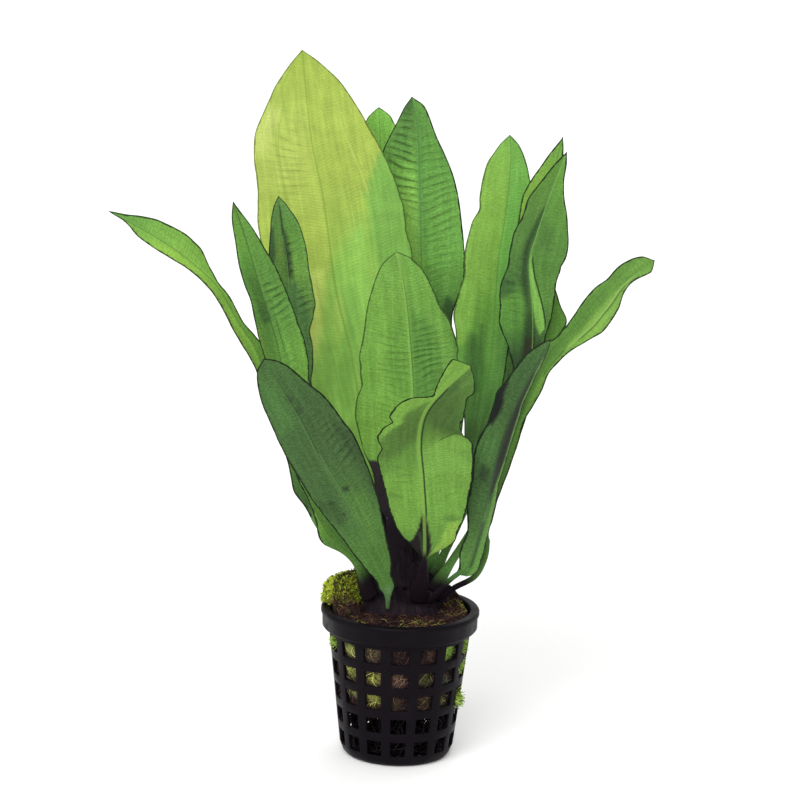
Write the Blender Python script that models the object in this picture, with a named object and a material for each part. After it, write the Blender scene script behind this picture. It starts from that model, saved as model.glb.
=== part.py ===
"""A potted aquarium sword plant: its leaves, its crown, the wool plug and the net pot.

Sizes are in millimetres and become metres where a mesh is made. The origin is the middle of
the pot's underside, +Z is up, and the plant is looked at along +Y.
"""

import math

import bmesh
import bpy
import numpy as np
from mathutils import Matrix, Vector

MM = 0.001
CLEAR = 0.35

# Net pot: one moulded piece, a 55 mm rim over a tapering wall with rows of openings.
POT_HEIGHT = 52.0
RIM_RADIUS = 27.4
RIM_BAND_RADIUS = 26.8
RIM_BAND_HEIGHT = 7.0
RIM_BEAD_HEIGHT = 2.2
RIM_MOUTH_RADIUS = 24.3
WALL_FOOT_RADIUS = 19.3
WALL_FLARE = 0.117
WALL_THICKNESS = 1.0
FLOOR_THICKNESS = 1.2
FOOT_RADIUS = 16.6
COLUMNS = 15
COLUMN_OFFSET = math.radians(1.5)
OPENING_ANGLE = math.radians(15.0)
ROWS = 5
ROW_PITCH = 8.5
FIRST_ROW_MIDDLE = 6.5
OPENING_HEIGHT = 5.3
FLOOR_SLOT = (7.5, 14.5)

# Wool plug, from just above the fourth row of openings to just under the rim's edge.
PLUG_FOOT = 17.8
PLUG_EDGE = 49.6
PLUG_TOP = 50.6
PLUG_MIDDLE_RADIUS = 14.5
PLUG_GAP = 0.5
MOSS_ANGLE = math.radians(152.0)
MOSS_SPREAD = math.radians(24.0)
MOSS_RISE = 6.4
MOSS_RADIUS = 27.0
BACK_ANGLE = math.radians(52.0)
BACK_RISE = 5.0

# Crown: the low stem base that every petiole stands on.
CROWN_MIDDLE = (0.6, 0.0)
CROWN_FOOT = PLUG_TOP + CLEAR
CROWN_HEIGHT = 6.4
CROWN_RADII = (13.4, 7.8)
CROWN_RINGS = ((0.86, 0.0), (1.0, 0.14), (0.98, 0.45), (0.86, 0.74), (0.62, 0.92), (0.32, 0.98))
CROWN_SIDES = 20

# Leaves
PETIOLE_FOOT_RADIUS = 1.5
PETIOLE_RADIUS = 1.1
BLADE_HALF_THICKNESS = 0.3
MARGIN_HALF_THICKNESS = 0.16
MIDRIB_HALF_THICKNESS = 0.85
BLADE_OPENS = 0.16
PETIOLE_EDGE = 0.12
PETIOLE_RINGS = 5
BLADE_RINGS = (0.05, 0.1, 0.17, 0.25, 0.34, 0.43, 0.52, 0.61, 0.7, 0.78, 0.85, 0.91, 0.96)
STATIONS = (0.0, 0.1, 0.25, 0.4, 0.55, 0.7, 0.82, 0.91, 0.97, 1.0)

LIGHT = (0.36, 0.56, 0.10)
MID = (0.16, 0.40, 0.07)
DARK = (0.07, 0.24, 0.05)

# Each leaf has the points of its midline from crown to tip, the share of that line that is
# petiole, the half widths of its blade at STATIONS on either side of the midrib as seen from
# the front, how its face turns about the midline (share of the blade, degrees, right edge
# away from the viewer) and how far both halves rise towards the viewer (degrees, at the blade's
# foot and tip).
LEAVES = {
    "leaf_far_left": dict(
        midline=(
            (-11.2, 0, 55.9), (-17, 1, 69), (-27, 2, 79), (-36.5, 2, 95), (-43.5, 2, 115), (-52, 3, 140),
            (-58.5, 3, 150), (-65, 3, 161), (-74, 2, 170), (-83, 0, 177), (-93, -2, 183), (-102, -4, 188),
        ),
        petiole=0.2,
        left=(1.1, 1.8, 3, 2.8, 3, 3, 3.7, 3, 0.8, 0),
        right=(1.1, 2.5, 4, 4.5, 2, 3, 7, 5, 1.5, 0),
        turn=((0, 20), (0.45, 40), (0.68, 35), (0.85, 0), (1, 0)),
        fold=(15, 5),
        colour=MID,
    ),
    "leaf_left": dict(
        midline=(
            (-10, -3.7, 55.9), (-18, -6, 69), (-27, -8.5, 79), (-34, -10, 97), (-40, -10, 126),
            (-45, -9, 147), (-50, -8, 162), (-55, -6, 178), (-60, -4, 192),
        ),
        petiole=0.17,
        left=(1.1, 2.5, 3, 5.5, 7.8, 7, 6.8, 4.7, 1.8, 0),
        right=(1.1, 3, 5, 7.8, 9.6, 8.7, 6.8, 3.8, 1.3, 0),
        turn=((0, 15), (0.5, 30), (1, 20)),
        fold=(25, 28),
        colour=MID,
    ),
    "leaf_left_back": dict(
        midline=(
            (-7.5, 2.8, 57.4), (-14, 9, 69), (-24, 16, 86), (-31, 20, 106), (-37, 22, 127), (-41, 22, 150),
            (-43, 21, 171), (-46, 20, 189),
        ),
        petiole=0.2,
        left=(1.1, 3, 6, 8.5, 9.5, 9, 7.5, 5.3, 2.9, 0),
        right=(1.1, 2.5, 3.5, 4.8, 7.2, 9.4, 8.6, 6.6, 3.4, 0),
        turn=((0, 10), (1, 5)),
        fold=(30, 32),
        colour=DARK,
    ),
    "leaf_back_tall": dict(
        midline=(
            (-2.6, 3.4, 58.2), (-4.5, 12, 69), (-9, 22, 84), (-14, 30, 104), (-20, 35, 133),
            (-26, 38, 156), (-31, 41, 186), (-36, 43, 208), (-40, 47, 238),
        ),
        petiole=0.17,
        left=(1.1, 6, 13, 19, 23.5, 23, 20.2, 12.7, 4.9, 0),
        right=(1.1, 6, 15, 23, 28.5, 25.8, 20.2, 13.6, 5.6, 0),
        turn=((0, 5), (1, 5)),
        fold=(12, 6),
        colour=LIGHT,
    ),
    "leaf_back": dict(
        midline=((0.2, 6.4, 56.3), (-0.5, 28, 83), (-4, 42, 116), (-7, 52, 149), (-10, 58, 181), (-13, 63, 216)),
        petiole=0.3,
        left=(1.1, 3, 7, 9.5, 10.5, 11, 9.5, 7.5, 4.2, 0),
        right=(1.1, 3, 7, 9.5, 10.5, 11, 9.5, 7.2, 4.2, 0),
        turn=((0, 0), (1, 0)),
        fold=(12, 8),
        colour=MID,
    ),
    "leaf_back_right": dict(
        midline=(
            (3, 3.2, 58.4), (4, 14, 68), (6, 25, 84), (7, 35, 110), (6, 41, 134), (4, 45, 159),
            (3, 48, 182), (2, 50, 196), (1, 51, 211), (-2, 53, 221),
        ),
        petiole=0.2,
        left=(1.1, 5, 10, 15, 18, 19, 15, 9.8, 4.4, 0),
        right=(1.1, 5, 9, 10.5, 15.2, 15, 11.4, 6, 3.8, 0),
        turn=((0, -5), (1, -5)),
        fold=(14, 8),
        colour=DARK,
    ),
    "leaf_middle": dict(
        midline=(
            (0.2, -0.6, 58.4), (0.3, 4, 68), (2, 11, 87), (2.4, 16, 104), (2, 18.5, 121.6), (0, 19.5, 143.6),
            (-2, 18, 159.8), (-5, 15, 173.8),
        ),
        petiole=0.2,
        left=(1.1, 7, 16.6, 20, 17.6, 15.5, 12.8, 9.1, 4.8, 0),
        right=(1.1, 9, 16, 18, 17.8, 15.6, 10.9, 8, 4.3, 0),
        turn=((0, 0), (1, -5)),
        fold=(10, 4),
        colour=LIGHT,
    ),
    "leaf_front": dict(
        midline=(
            (5.6, -6, 56.2), (7.5, -12, 68), (7.5, -17, 78), (6.5, -22, 90), (5, -26, 104), (4.5, -30, 118),
            (7.5, -34, 129), (13, -37, 138), (20.5, -39, 146.5),
        ),
        petiole=0.2,
        left=(1.2, 8.5, 10.9, 12.4, 13.9, 11, 3, 5.4, 6.6, 0),
        right=(1.2, 11.4, 14.8, 18, 19.5, 16.8, 10.4, 8.4, 5, 0),
        turn=((0, 0), (1, 0)),
        fold=(8, 20),
        colour=LIGHT,
    ),
    "leaf_right_light": dict(
        midline=(
            (6.3, 5.5, 56.7), (12, 10, 71), (19.5, 14, 88), (24, 15, 106), (27, 15.5, 123), (29, 16.5, 145),
            (30, 17, 172), (32, 19, 188), (33, 20.5, 206), (32, 21.5, 214),
        ),
        petiole=0.26,
        left=(1.1, 4, 9, 13.2, 13.4, 12, 10, 8, 4.2, 0),
        right=(1.1, 4, 8, 11, 13, 12.5, 9, 6, 3, 0),
        turn=((0, 0), (1, 0)),
        fold=(22, 10),
        colour=LIGHT,
    ),
    "leaf_right_back": dict(
        midline=(
            (8.8, 3.4, 57), (16, 5.6, 73), (23, 8, 89), (31, 9, 106), (37, 10, 124), (42, 10, 145),
            (43, 9, 163), (44, 9, 180), (46, 9, 198), (50, 9, 215),
        ),
        petiole=0.28,
        left=(1.1, 3, 6, 8, 9, 9, 7, 4.4, 1.6, 0),
        right=(1.1, 3, 7, 9, 9, 7, 5, 3, 1.2, 0),
        turn=((0, 0), (1, 0)),
        fold=(15, 10),
        colour=LIGHT,
    ),
    "leaf_right_dark": dict(
        midline=(
            (10.5, 0.4, 57), (17, 1, 68), (24, 2, 80), (30, 3, 93), (35, 4, 108), (39, 4, 126),
            (42, 3, 142), (41.5, 2, 160), (40, 2, 174), (42, 2, 183), (46, 1, 197), (51, -2, 212),
        ),
        petiole=0.3,
        left=(1.1, 3, 5, 9.5, 12, 7.8, 7, 4.4, 1.9, 0),
        right=(1.1, 3, 4, 4.4, 8.5, 12.3, 8.2, 3.2, 1.4, 0),
        turn=((0, 0), (1, 0)),
        fold=(25, 20),
        colour=DARK,
    ),
    "leaf_front_right": dict(
        midline=(
            (9.6, -5, 55.6), (16.5, -11, 65), (21.5, -15, 71), (24, -18, 79), (26.5, -22, 91), (28.5, -25, 102),
            (31.5, -28, 116), (36, -30, 131), (41, -31, 143), (47, -31, 154),
        ),
        petiole=0.17,
        left=(1.2, 4, 4.9, 6.2, 8.2, 6.8, 5.9, 4.6, 2.3, 0),
        right=(1.2, 5, 5.5, 5, 5.2, 4.4, 3.8, 3, 1.3, 0),
        turn=((0, 20), (1, 30)),
        fold=(-20, -25),
        colour=DARK,
    ),
    "leaf_far_right": dict(
        midline=(
            (12.6, -2, 55.6), (20, -4.5, 60), (26, -7, 66), (28.5, -9, 78), (30, -11, 92), (33.5, -13, 107),
            (38.5, -13, 123), (45.5, -12, 139), (56.5, -9, 152), (69.5, -6, 167), (76, -5, 173), (82, -4, 177),
        ),
        petiole=0.22,
        left=(1.2, 3, 5, 6, 6, 5.2, 6.4, 5.8, 3.8, 0),
        right=(1.2, 1.4, 2, 2.2, 2, 4.6, 6, 1.9, 2.8, 0),
        turn=((0, 0), (1, 0)),
        fold=(15, 10),
        colour=MID,
    ),
    "leaf_front_left": dict(
        midline=(
            (-3.6, -8.7, 54), (-4.5, -14, 62), (-7, -18, 69), (-12, -24, 80), (-20, -31, 97),
            (-28, -37, 112), (-35, -42, 127), (-41, -46, 138), (-47, -50, 149),
        ),
        petiole=0.08,
        left=(1.2, 4.2, 6.7, 9.5, 10, 10, 9, 6.8, 3.9, 0),
        right=(1.2, 5.2, 9, 11.5, 13.5, 12.5, 9.5, 6.2, 3.2, 0),
        turn=((0, 0), (1, 0)),
        fold=(-8, -8),
        colour=DARK,
    ),
}


def clear_scene():
    for old in list(bpy.data.objects):
        bpy.data.objects.remove(old)


def make_material(name, colour, roughness):
    material = bpy.data.materials.new(name)
    material.use_nodes = True
    shader = material.node_tree.nodes["Principled BSDF"]
    shader.inputs["Base Color"].default_value = (*colour, 1.0)
    shader.inputs["Roughness"].default_value = roughness
    material.diffuse_color = (*colour, 1.0)
    return material


def make_object(name, points, faces, material):
    """Make one closed object from points in millimetres."""
    mesh = bpy.data.meshes.new(name)
    mesh.from_pydata([Vector(p) * MM for p in points], [], faces)
    mesh.validate()
    shape = bmesh.new()
    shape.from_mesh(mesh)
    bmesh.ops.recalc_face_normals(shape, faces=shape.faces)
    bmesh.ops.triangulate(shape, faces=shape.faces, quad_method="SHORT_EDGE")
    shape.to_mesh(mesh)
    shape.free()
    mesh.materials.append(material)
    mesh.shade_smooth()
    mesh.set_sharp_from_angle(angle=math.radians(35))
    part = bpy.data.objects.new(name, mesh)
    bpy.context.scene.collection.objects.link(part)
    return part


def smooth_value(places, values, at):
    """Read a curve through (places, values) that never swings past its own points."""
    steps = np.diff(places)
    slopes = np.diff(values) / steps
    rates = np.zeros(len(values))
    rates[0], rates[-1] = slopes[0], slopes[-1]
    for i in range(1, len(values) - 1):
        if slopes[i - 1] * slopes[i] > 0:
            rates[i] = 2 * slopes[i - 1] * slopes[i] / (slopes[i - 1] + slopes[i])
    i = min(max(int(np.searchsorted(places, at)) - 1, 0), len(steps) - 1)
    u = min(max((at - places[i]) / steps[i], 0.0), 1.0)
    start = (1 + 2 * u) * (1 - u) ** 2 * values[i] + u * (1 - u) ** 2 * steps[i] * rates[i]
    end = u * u * (3 - 2 * u) * values[i + 1] + u * u * (u - 1) * steps[i] * rates[i + 1]
    return float(start + end)


def smooth_line(points, samples=240):
    """Run a smooth curve through points; give places at equal steps of its length."""
    points = [Vector(p) for p in points]
    spans = [(b - a).length for a, b in zip(points, points[1:])]
    places = np.concatenate(([0.0], np.cumsum(spans)))
    rates = []
    for i in range(len(points)):
        before, after = max(i - 1, 0), min(i + 1, len(points) - 1)
        rates.append((points[after] - points[before]) / (places[after] - places[before]))
    fine = []
    for s in np.linspace(0.0, places[-1], samples):
        i = min(max(int(np.searchsorted(places, s)) - 1, 0), len(spans) - 1)
        u = (s - places[i]) / spans[i]
        start = points[i] * ((1 + 2 * u) * (1 - u) ** 2) + rates[i] * (u * (1 - u) ** 2 * spans[i])
        end = points[i + 1] * (u * u * (3 - 2 * u)) + rates[i + 1] * (u * u * (u - 1) * spans[i])
        fine.append(start + end)
    fine = np.array([tuple(p) for p in fine])
    run = np.concatenate(([0.0], np.cumsum(np.linalg.norm(np.diff(fine, axis=0), axis=1))))
    even = np.linspace(0.0, run[-1], samples)
    return np.stack([np.interp(even, run, fine[:, k]) for k in range(3)], axis=1)


def place_on(line, share):
    """Give the point and the direction at a share of a line's length."""
    last = len(line) - 1
    at = share * last
    low = min(int(at), last - 1)
    point = line[low] + (line[low + 1] - line[low]) * (at - low)
    before, after = max(low - 2, 0), min(low + 3, last)
    return Vector(point), Vector(line[after] - line[before]).normalized()


def blade_frame(direction, turn):
    """Give the blade's right and its face normal, which looks at the viewer before turning."""
    viewer = Vector((0.0, -1.0, 0.0))
    face = (viewer - direction * viewer.dot(direction)).normalized()
    face = Matrix.Rotation(math.radians(turn), 3, direction) @ face
    return direction.cross(face), face


def ease(x):
    x = min(max(x, 0.0), 1.0)
    return x * x * (3 - 2 * x)


def leaf_ring(leaf, line, share):
    """Ten points around the leaf at a share of its midline, left margin first."""
    along = max(share - leaf["petiole"], 0.0) / (1 - leaf["petiole"])
    point, direction = place_on(line, share)
    turns, angles = zip(*leaf["turn"])
    right, face = blade_frame(direction, smooth_value(turns, angles, along))
    flat = ease(along / BLADE_OPENS)
    fold = math.radians(leaf["fold"][0] + (leaf["fold"][1] - leaf["fold"][0]) * along) * flat
    radius = PETIOLE_FOOT_RADIUS + (PETIOLE_RADIUS - PETIOLE_FOOT_RADIUS) * ease(share / leaf["petiole"])
    widths = {
        -1: smooth_value(STATIONS, leaf["left"], along),
        1: smooth_value(STATIONS, leaf["right"], along),
    }
    if share < leaf["petiole"]:
        widths = {-1: radius, 1: radius}
    ring = []
    for level, across in [(1, s) for s in (-1, -0.5, 0, 0.5, 1)] + [(-1, s) for s in (1, 0.5, 0, -0.5, -1)]:
        side = -1 if across < 0 else 1
        out = abs(across) * widths[side]
        centre = point + right * (side * out * math.cos(fold)) + face * (out * math.sin(fold))
        round_half = radius * math.sqrt(max(1 - across * across, PETIOLE_EDGE))
        flat_half = BLADE_HALF_THICKNESS
        if across == 0:
            flat_half = MIDRIB_HALF_THICKNESS + (BLADE_HALF_THICKNESS - MIDRIB_HALF_THICKNESS) * along
        if abs(across) == 1:
            flat_half = MARGIN_HALF_THICKNESS
        half = round_half + (flat_half - round_half) * flat
        ring.append(centre + face * (half * level))
    return ring


def make_leaf(name, leaf):
    line = smooth_line(leaf["midline"])
    shares = [leaf["petiole"] * i / PETIOLE_RINGS for i in range(PETIOLE_RINGS + 1)]
    shares += [leaf["petiole"] + (1 - leaf["petiole"]) * b for b in BLADE_RINGS]
    points = []
    for share in shares:
        points += leaf_ring(leaf, line, share)
    size = len(leaf_ring(leaf, line, 0.0))
    points.append(Vector(line[-1]))
    faces = [tuple(range(size))]
    for i in range(len(shares) - 1):
        for j in range(size):
            k = (j + 1) % size
            faces.append((i * size + j, i * size + k, (i + 1) * size + k, (i + 1) * size + j))
    last = (len(shares) - 1) * size
    faces += [(last + j, last + (j + 1) % size, len(points) - 1) for j in range(size)]
    return make_object(name, points, faces, make_material(name, leaf["colour"], 0.45))


def wall_radius(height):
    return WALL_FOOT_RADIUS + WALL_FLARE * height


def spoke_angles():
    """The two edges of each opening, column by column, starting at the front."""
    angles = []
    for column in range(COLUMNS):
        middle = -math.pi / 2 + COLUMN_OFFSET + 2 * math.pi * column / COLUMNS
        angles += [middle - OPENING_ANGLE / 2, middle + OPENING_ANGLE / 2]
    return angles


def pot_levels():
    """Matching points on the pot's outside and inside, with a mark where openings start."""
    floor = FLOOR_THICKNESS
    levels = [
        ((FLOOR_SLOT[0], 0.0), (FLOOR_SLOT[0], floor), True),
        ((FLOOR_SLOT[1], 0.0), (FLOOR_SLOT[1], floor), False),
        ((FOOT_RADIUS, 0.0), (FOOT_RADIUS, floor), False),
        ((FOOT_RADIUS + 1.9, 0.8), (FOOT_RADIUS + 1.4, floor + 0.5), False),
    ]
    for row in range(ROWS):
        middle = FIRST_ROW_MIDDLE + ROW_PITCH * row
        for height, opening in ((middle - OPENING_HEIGHT / 2, True), (middle + OPENING_HEIGHT / 2, False)):
            outer = wall_radius(height)
            levels.append(((outer, height), (outer - WALL_THICKNESS, height), opening))
    band_foot = POT_HEIGHT - RIM_BAND_HEIGHT
    bead_foot = POT_HEIGHT - RIM_BEAD_HEIGHT
    mouth = RIM_MOUTH_RADIUS
    inside = wall_radius(band_foot) - WALL_THICKNESS
    levels += [
        ((inside + WALL_THICKNESS, band_foot), (inside, band_foot), False),
        ((RIM_BAND_RADIUS, band_foot + 0.2), (inside + 0.1, band_foot + 1.2), False),
        ((RIM_BAND_RADIUS + 0.1, bead_foot), (mouth - 0.4, bead_foot), False),
        ((RIM_RADIUS, bead_foot + 0.5), (mouth - 0.2, bead_foot + 0.6), False),
        ((RIM_RADIUS, POT_HEIGHT - 0.5), (mouth, POT_HEIGHT - 0.3), False),
        ((RIM_RADIUS - 0.5, POT_HEIGHT), (mouth + 0.4, POT_HEIGHT), False),
    ]
    return levels


def make_net_pot():
    angles = spoke_angles()
    levels = pot_levels()
    spokes = len(angles)
    points = []
    for outer, inner, _ in levels:
        for radius, height in (outer, inner):
            points += [(radius * math.cos(a), radius * math.sin(a), height) for a in angles]

    def outside(i, j):
        return 2 * i * spokes + j % spokes

    def inside(i, j):
        return (2 * i + 1) * spokes + j % spokes

    def is_open(i, j):
        return levels[i][2] and j % 2 == 0

    faces = []
    for i in range(len(levels) - 1):
        for j in range(spokes):
            if is_open(i, j):
                faces.append((outside(i, j), outside(i, j + 1), inside(i, j + 1), inside(i, j)))
                faces.append((outside(i + 1, j), inside(i + 1, j), inside(i + 1, j + 1), outside(i + 1, j + 1)))
                faces.append((outside(i, j), inside(i, j), inside(i + 1, j), outside(i + 1, j)))
                faces.append(
                    (outside(i, j + 1), outside(i + 1, j + 1), inside(i + 1, j + 1), inside(i, j + 1))
                )
            else:
                faces.append((outside(i, j), outside(i, j + 1), outside(i + 1, j + 1), outside(i + 1, j)))
                faces.append((inside(i, j), inside(i + 1, j), inside(i + 1, j + 1), inside(i, j + 1)))
    top = len(levels) - 1
    faces += [(outside(top, j), outside(top, j + 1), inside(top, j + 1), inside(top, j)) for j in range(spokes)]
    for ring, height in ((outside, 0.0), (inside, FLOOR_THICKNESS)):
        points.append((0.0, 0.0, height))
        faces += [(ring(0, j), ring(0, j + 1), len(points) - 1) for j in range(spokes)]
    return make_object("net_pot", points, faces, make_material("black_plastic", (0.012, 0.011, 0.014), 0.35))


def around(angle, middle, full, fade):
    """1 within full of a direction, easing to 0 over fade beyond it (radians)."""
    away = abs((angle - middle + math.pi) % (2 * math.pi) - math.pi)
    return ease((full + fade - away) / fade)


def make_rockwool():
    """The plug follows the pot's inside; its mossy corner stands over the rim at the back left."""
    angles = spoke_angles()
    inside = WALL_THICKNESS + PLUG_GAP
    brim = POT_HEIGHT + CLEAR
    mouth = RIM_MOUTH_RADIUS - 0.4 - PLUG_GAP
    foot = wall_radius(PLUG_FOOT) - inside
    rings = [[(foot * 0.5, PLUG_FOOT)], [(foot * 0.92, PLUG_FOOT)], [(foot + 0.1, PLUG_FOOT + 1.4)]]
    rings += [[(wall_radius(height) - inside, height)] for height in (28.0, 38.0, 45.0)]
    rings.append([(mouth, 48.4)])
    rings = [ring * len(angles) for ring in rings]
    corner = []
    for a in angles:
        up = around(a, MOSS_ANGLE, MOSS_SPREAD + 0.45, 0.01)
        out = around(a, MOSS_ANGLE, MOSS_SPREAD, 0.18)
        corner.append((up, mouth + (MOSS_RADIUS - mouth) * out, MOSS_RISE * out))
    back = [BACK_RISE * around(a, BACK_ANGLE, 0.2, 0.5) for a in angles]
    rings.append([(mouth, 48.9 + (brim - 48.9) * up) for up, _, _ in corner])
    rings.append([(reach, 49.2 + (brim + 0.1 - 49.2) * up) for up, reach, _ in corner])
    for share, lift in ((0.985, 0.75), (0.9, 1.0), (0.7, 0.8)):
        ring = []
        for (up, reach, rise), more in zip(corner, back):
            edge = max(PLUG_EDGE + 0.5, (brim + 0.6) * up)
            ring.append((reach * share, edge + lift * (rise + more)))
        rings.append(ring)
    rings.append([(PLUG_MIDDLE_RADIUS, PLUG_TOP)] * len(angles))
    points = [(r * math.cos(a), r * math.sin(a), z) for ring in rings for (r, z), a in zip(ring, angles)]
    size = len(angles)
    faces = []
    for i in range(len(rings) - 1):
        for j in range(size):
            k = (j + 1) % size
            faces.append((i * size + j, i * size + k, (i + 1) * size + k, (i + 1) * size + j))
    for first, height in ((0, PLUG_FOOT), ((len(rings) - 1) * size, PLUG_TOP)):
        points.append((0.0, 0.0, height))
        faces += [(first + j, first + (j + 1) % size, len(points) - 1) for j in range(size)]
    return make_object("rockwool", points, faces, make_material("wool", (0.10, 0.06, 0.035), 0.95))


def make_crown():
    """A low cushion, widest just above the plug."""
    points = []
    for share, rise in CROWN_RINGS:
        for j in range(CROWN_SIDES):
            angle = 2 * math.pi * j / CROWN_SIDES
            reach = share * (1 + 0.03 * math.sin(3 * angle + 0.6))
            x = CROWN_MIDDLE[0] + CROWN_RADII[0] * reach * math.cos(angle)
            y = CROWN_MIDDLE[1] + CROWN_RADII[1] * reach * math.sin(angle)
            points.append((x, y, CROWN_FOOT + CROWN_HEIGHT * rise))
    faces = []
    for i in range(len(CROWN_RINGS) - 1):
        for j in range(CROWN_SIDES):
            k = (j + 1) % CROWN_SIDES
            low, high = i * CROWN_SIDES, (i + 1) * CROWN_SIDES
            faces.append((low + j, low + k, high + k, high + j))
    for first, height in ((0, 0.0), ((len(CROWN_RINGS) - 1) * CROWN_SIDES, CROWN_HEIGHT)):
        points.append((*CROWN_MIDDLE, CROWN_FOOT + height))
        faces += [(first + j, first + (j + 1) % CROWN_SIDES, len(points) - 1) for j in range(CROWN_SIDES)]
    return make_object("crown", points, faces, make_material("crown", (0.03, 0.02, 0.025), 0.7))


def main():
    clear_scene()
    make_net_pot()
    make_rockwool()
    make_crown()
    for name, leaf in LEAVES.items():
        make_leaf(name, leaf)


main()
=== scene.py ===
"""A potted aquarium sword plant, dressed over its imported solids.

Sizes are in millimetres and become metres where a mesh is made. The origin is the middle of
the pot's underside, +Z is up, and the camera looks along +Y.
"""

import math
import random

import bpy
import numpy as np
from mathutils import Matrix, Vector, noise
from mathutils.bvhtree import BVHTree


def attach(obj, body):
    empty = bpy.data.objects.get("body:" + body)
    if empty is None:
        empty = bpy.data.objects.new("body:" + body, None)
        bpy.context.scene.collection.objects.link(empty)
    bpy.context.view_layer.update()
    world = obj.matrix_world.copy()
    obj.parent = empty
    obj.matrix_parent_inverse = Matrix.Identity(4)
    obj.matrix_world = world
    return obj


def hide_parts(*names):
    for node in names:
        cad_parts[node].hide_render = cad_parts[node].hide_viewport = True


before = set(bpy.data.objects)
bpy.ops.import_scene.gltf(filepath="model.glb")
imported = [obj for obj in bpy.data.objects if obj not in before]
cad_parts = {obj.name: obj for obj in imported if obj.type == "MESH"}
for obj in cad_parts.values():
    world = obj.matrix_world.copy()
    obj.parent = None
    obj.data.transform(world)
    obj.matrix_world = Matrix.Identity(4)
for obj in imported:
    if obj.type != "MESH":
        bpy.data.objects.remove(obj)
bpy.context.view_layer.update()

MM = 0.001
PER_MM = (1000.0, 1000.0, 1000.0)

# Camera: degrees that it looks down and leans, and its place in metres
CAMERA_DOWN = 12.87
CAMERA_LEAN = 1.76
CAMERA_PLACE = (-0.0023, -1.146, 0.387)
CAMERA_SENSOR = 36.0
CAMERA_LENS = 155.16

# Stage: the floor's corners and drop in metres, and the lights' directions or places, strengths and sizes
FLOOR_CORNERS = ((-6, -6, 0), (6, -6, 0), (6, 8, 0), (-6, 8, 0))
FLOOR_DROP = 0.0002
SKY_STRENGTH = 0.72
FRONT_LIGHT = ((-0.35, -1.0, 0.75), 2.3, 50.0)
BACK_LIGHT = ((0.5, 1.0, 0.9), 0.7, 60.0)
KEY_LIGHT = ((-0.9, -1.2, 1.3), (0, 0, 0.12), 1.0, 3.0)

# Net pot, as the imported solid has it
POT_HEIGHT = 52.0
RIM_RADIUS = 27.4
RIM_BAND_RADIUS = 26.8
RIM_BAND_HEIGHT = 7.0
RIM_BEAD_HEIGHT = 2.2
RIM_MOUTH_RADIUS = 24.3
WALL_FOOT_RADIUS = 19.3
WALL_FLARE = 0.117
WALL_THICKNESS = 1.0
FLOOR_THICKNESS = 1.2
FOOT_RADIUS = 16.6
COLUMNS = 15
COLUMN_OFFSET = math.radians(1.5)
OPENING_ANGLE = math.radians(15.0)
ROWS = 5
ROW_PITCH = 8.5
FIRST_ROW_MIDDLE = 6.5
OPENING_HEIGHT = 5.3
FLOOR_SLOT = (7.5, 14.5)
OPENING_STEPS = 4
SPOKE_STEPS = 3
POT_EDGE_ROUND = 0.22

# Wool plug: heights from its foot to the middle of its top, and the share of its edge's radius
# and of the moss's rise at each ring of that edge
PLUG_FOOT = 17.8
PLUG_SHOULDER = 44.5
PLUG_NECK = (47.0, 48.4)
PLUG_LIP = (48.9, 49.2)
PLUG_EDGE = 49.6
PLUG_TOP = 50.6
PLUG_MIDDLE_RADIUS = 14.5
PLUG_GAP = 0.5
PLUG_STEPS = 180
PLUG_WALL_RINGS = 44
PLUG_PROFILE = (
    (1.0, 0.2), (0.995, 0.45), (0.985, 0.7), (0.96, 0.9), (0.92, 1.0), (0.87, 1.0),
    (0.81, 0.97), (0.76, 0.9), (0.71, 0.75), (0.67, 0.55), (0.64, 0.3),
)
MOSS_ANGLE = math.radians(152.0)
MOSS_SPREAD = math.radians(24.0)
MOSS_RISE = 6.4
MOSS_RADIUS = 27.0
BACK_ANGLE = math.radians(52.0)
BACK_RISE = 5.0
PLUG_COLOUR = (46, 33, 33)
PLUG_TOP_COLOUR = (58, 40, 38)
MOSS_COLOUR = (150, 166, 46)
# Patches on its side: degrees round the pot, height, half of its degrees, half height, colour, amount
PLUG_PATCHES = (
    (-137, 41, 13, 4.5, (158, 168, 88), 0.9), (-137, 33, 12, 4.5, (140, 150, 76), 0.9),
    (-137, 25.5, 12, 3.0, (140, 152, 82), 0.8), (-113, 32.5, 11, 4.0, (146, 150, 72), 0.9),
    (-113, 41, 11, 4.0, (104, 92, 66), 0.9), (-113, 24.5, 10, 4.0, (142, 148, 70), 0.9),
    (-90, 32, 9, 4.0, (100, 80, 66), 0.8), (-92, 23, 9, 3.5, (72, 60, 44), 0.8),
    (-65, 32, 10, 4.0, (92, 96, 56), 0.8), (-64, 24, 10, 4.5, (74, 62, 46), 0.8),
    (-62, 41, 8, 3.5, (66, 48, 42), 0.8), (-41, 41, 10, 4.5, (150, 192, 84), 0.9),
    (-42, 30, 8, 3.0, (110, 124, 96), 0.7), (-41, 23, 7, 3.0, (84, 92, 50), 0.7),
    (-17, 37, 11, 10.0, (156, 196, 96), 0.9), (20, 34, 20, 9.0, (108, 130, 60), 0.7),
    (75, 30, 24, 10.0, (96, 104, 56), 0.7), (130, 36, 26, 9.0, (116, 132, 62), 0.8),
    (175, 30, 16, 12.0, (110, 124, 60), 0.8),
)

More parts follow.
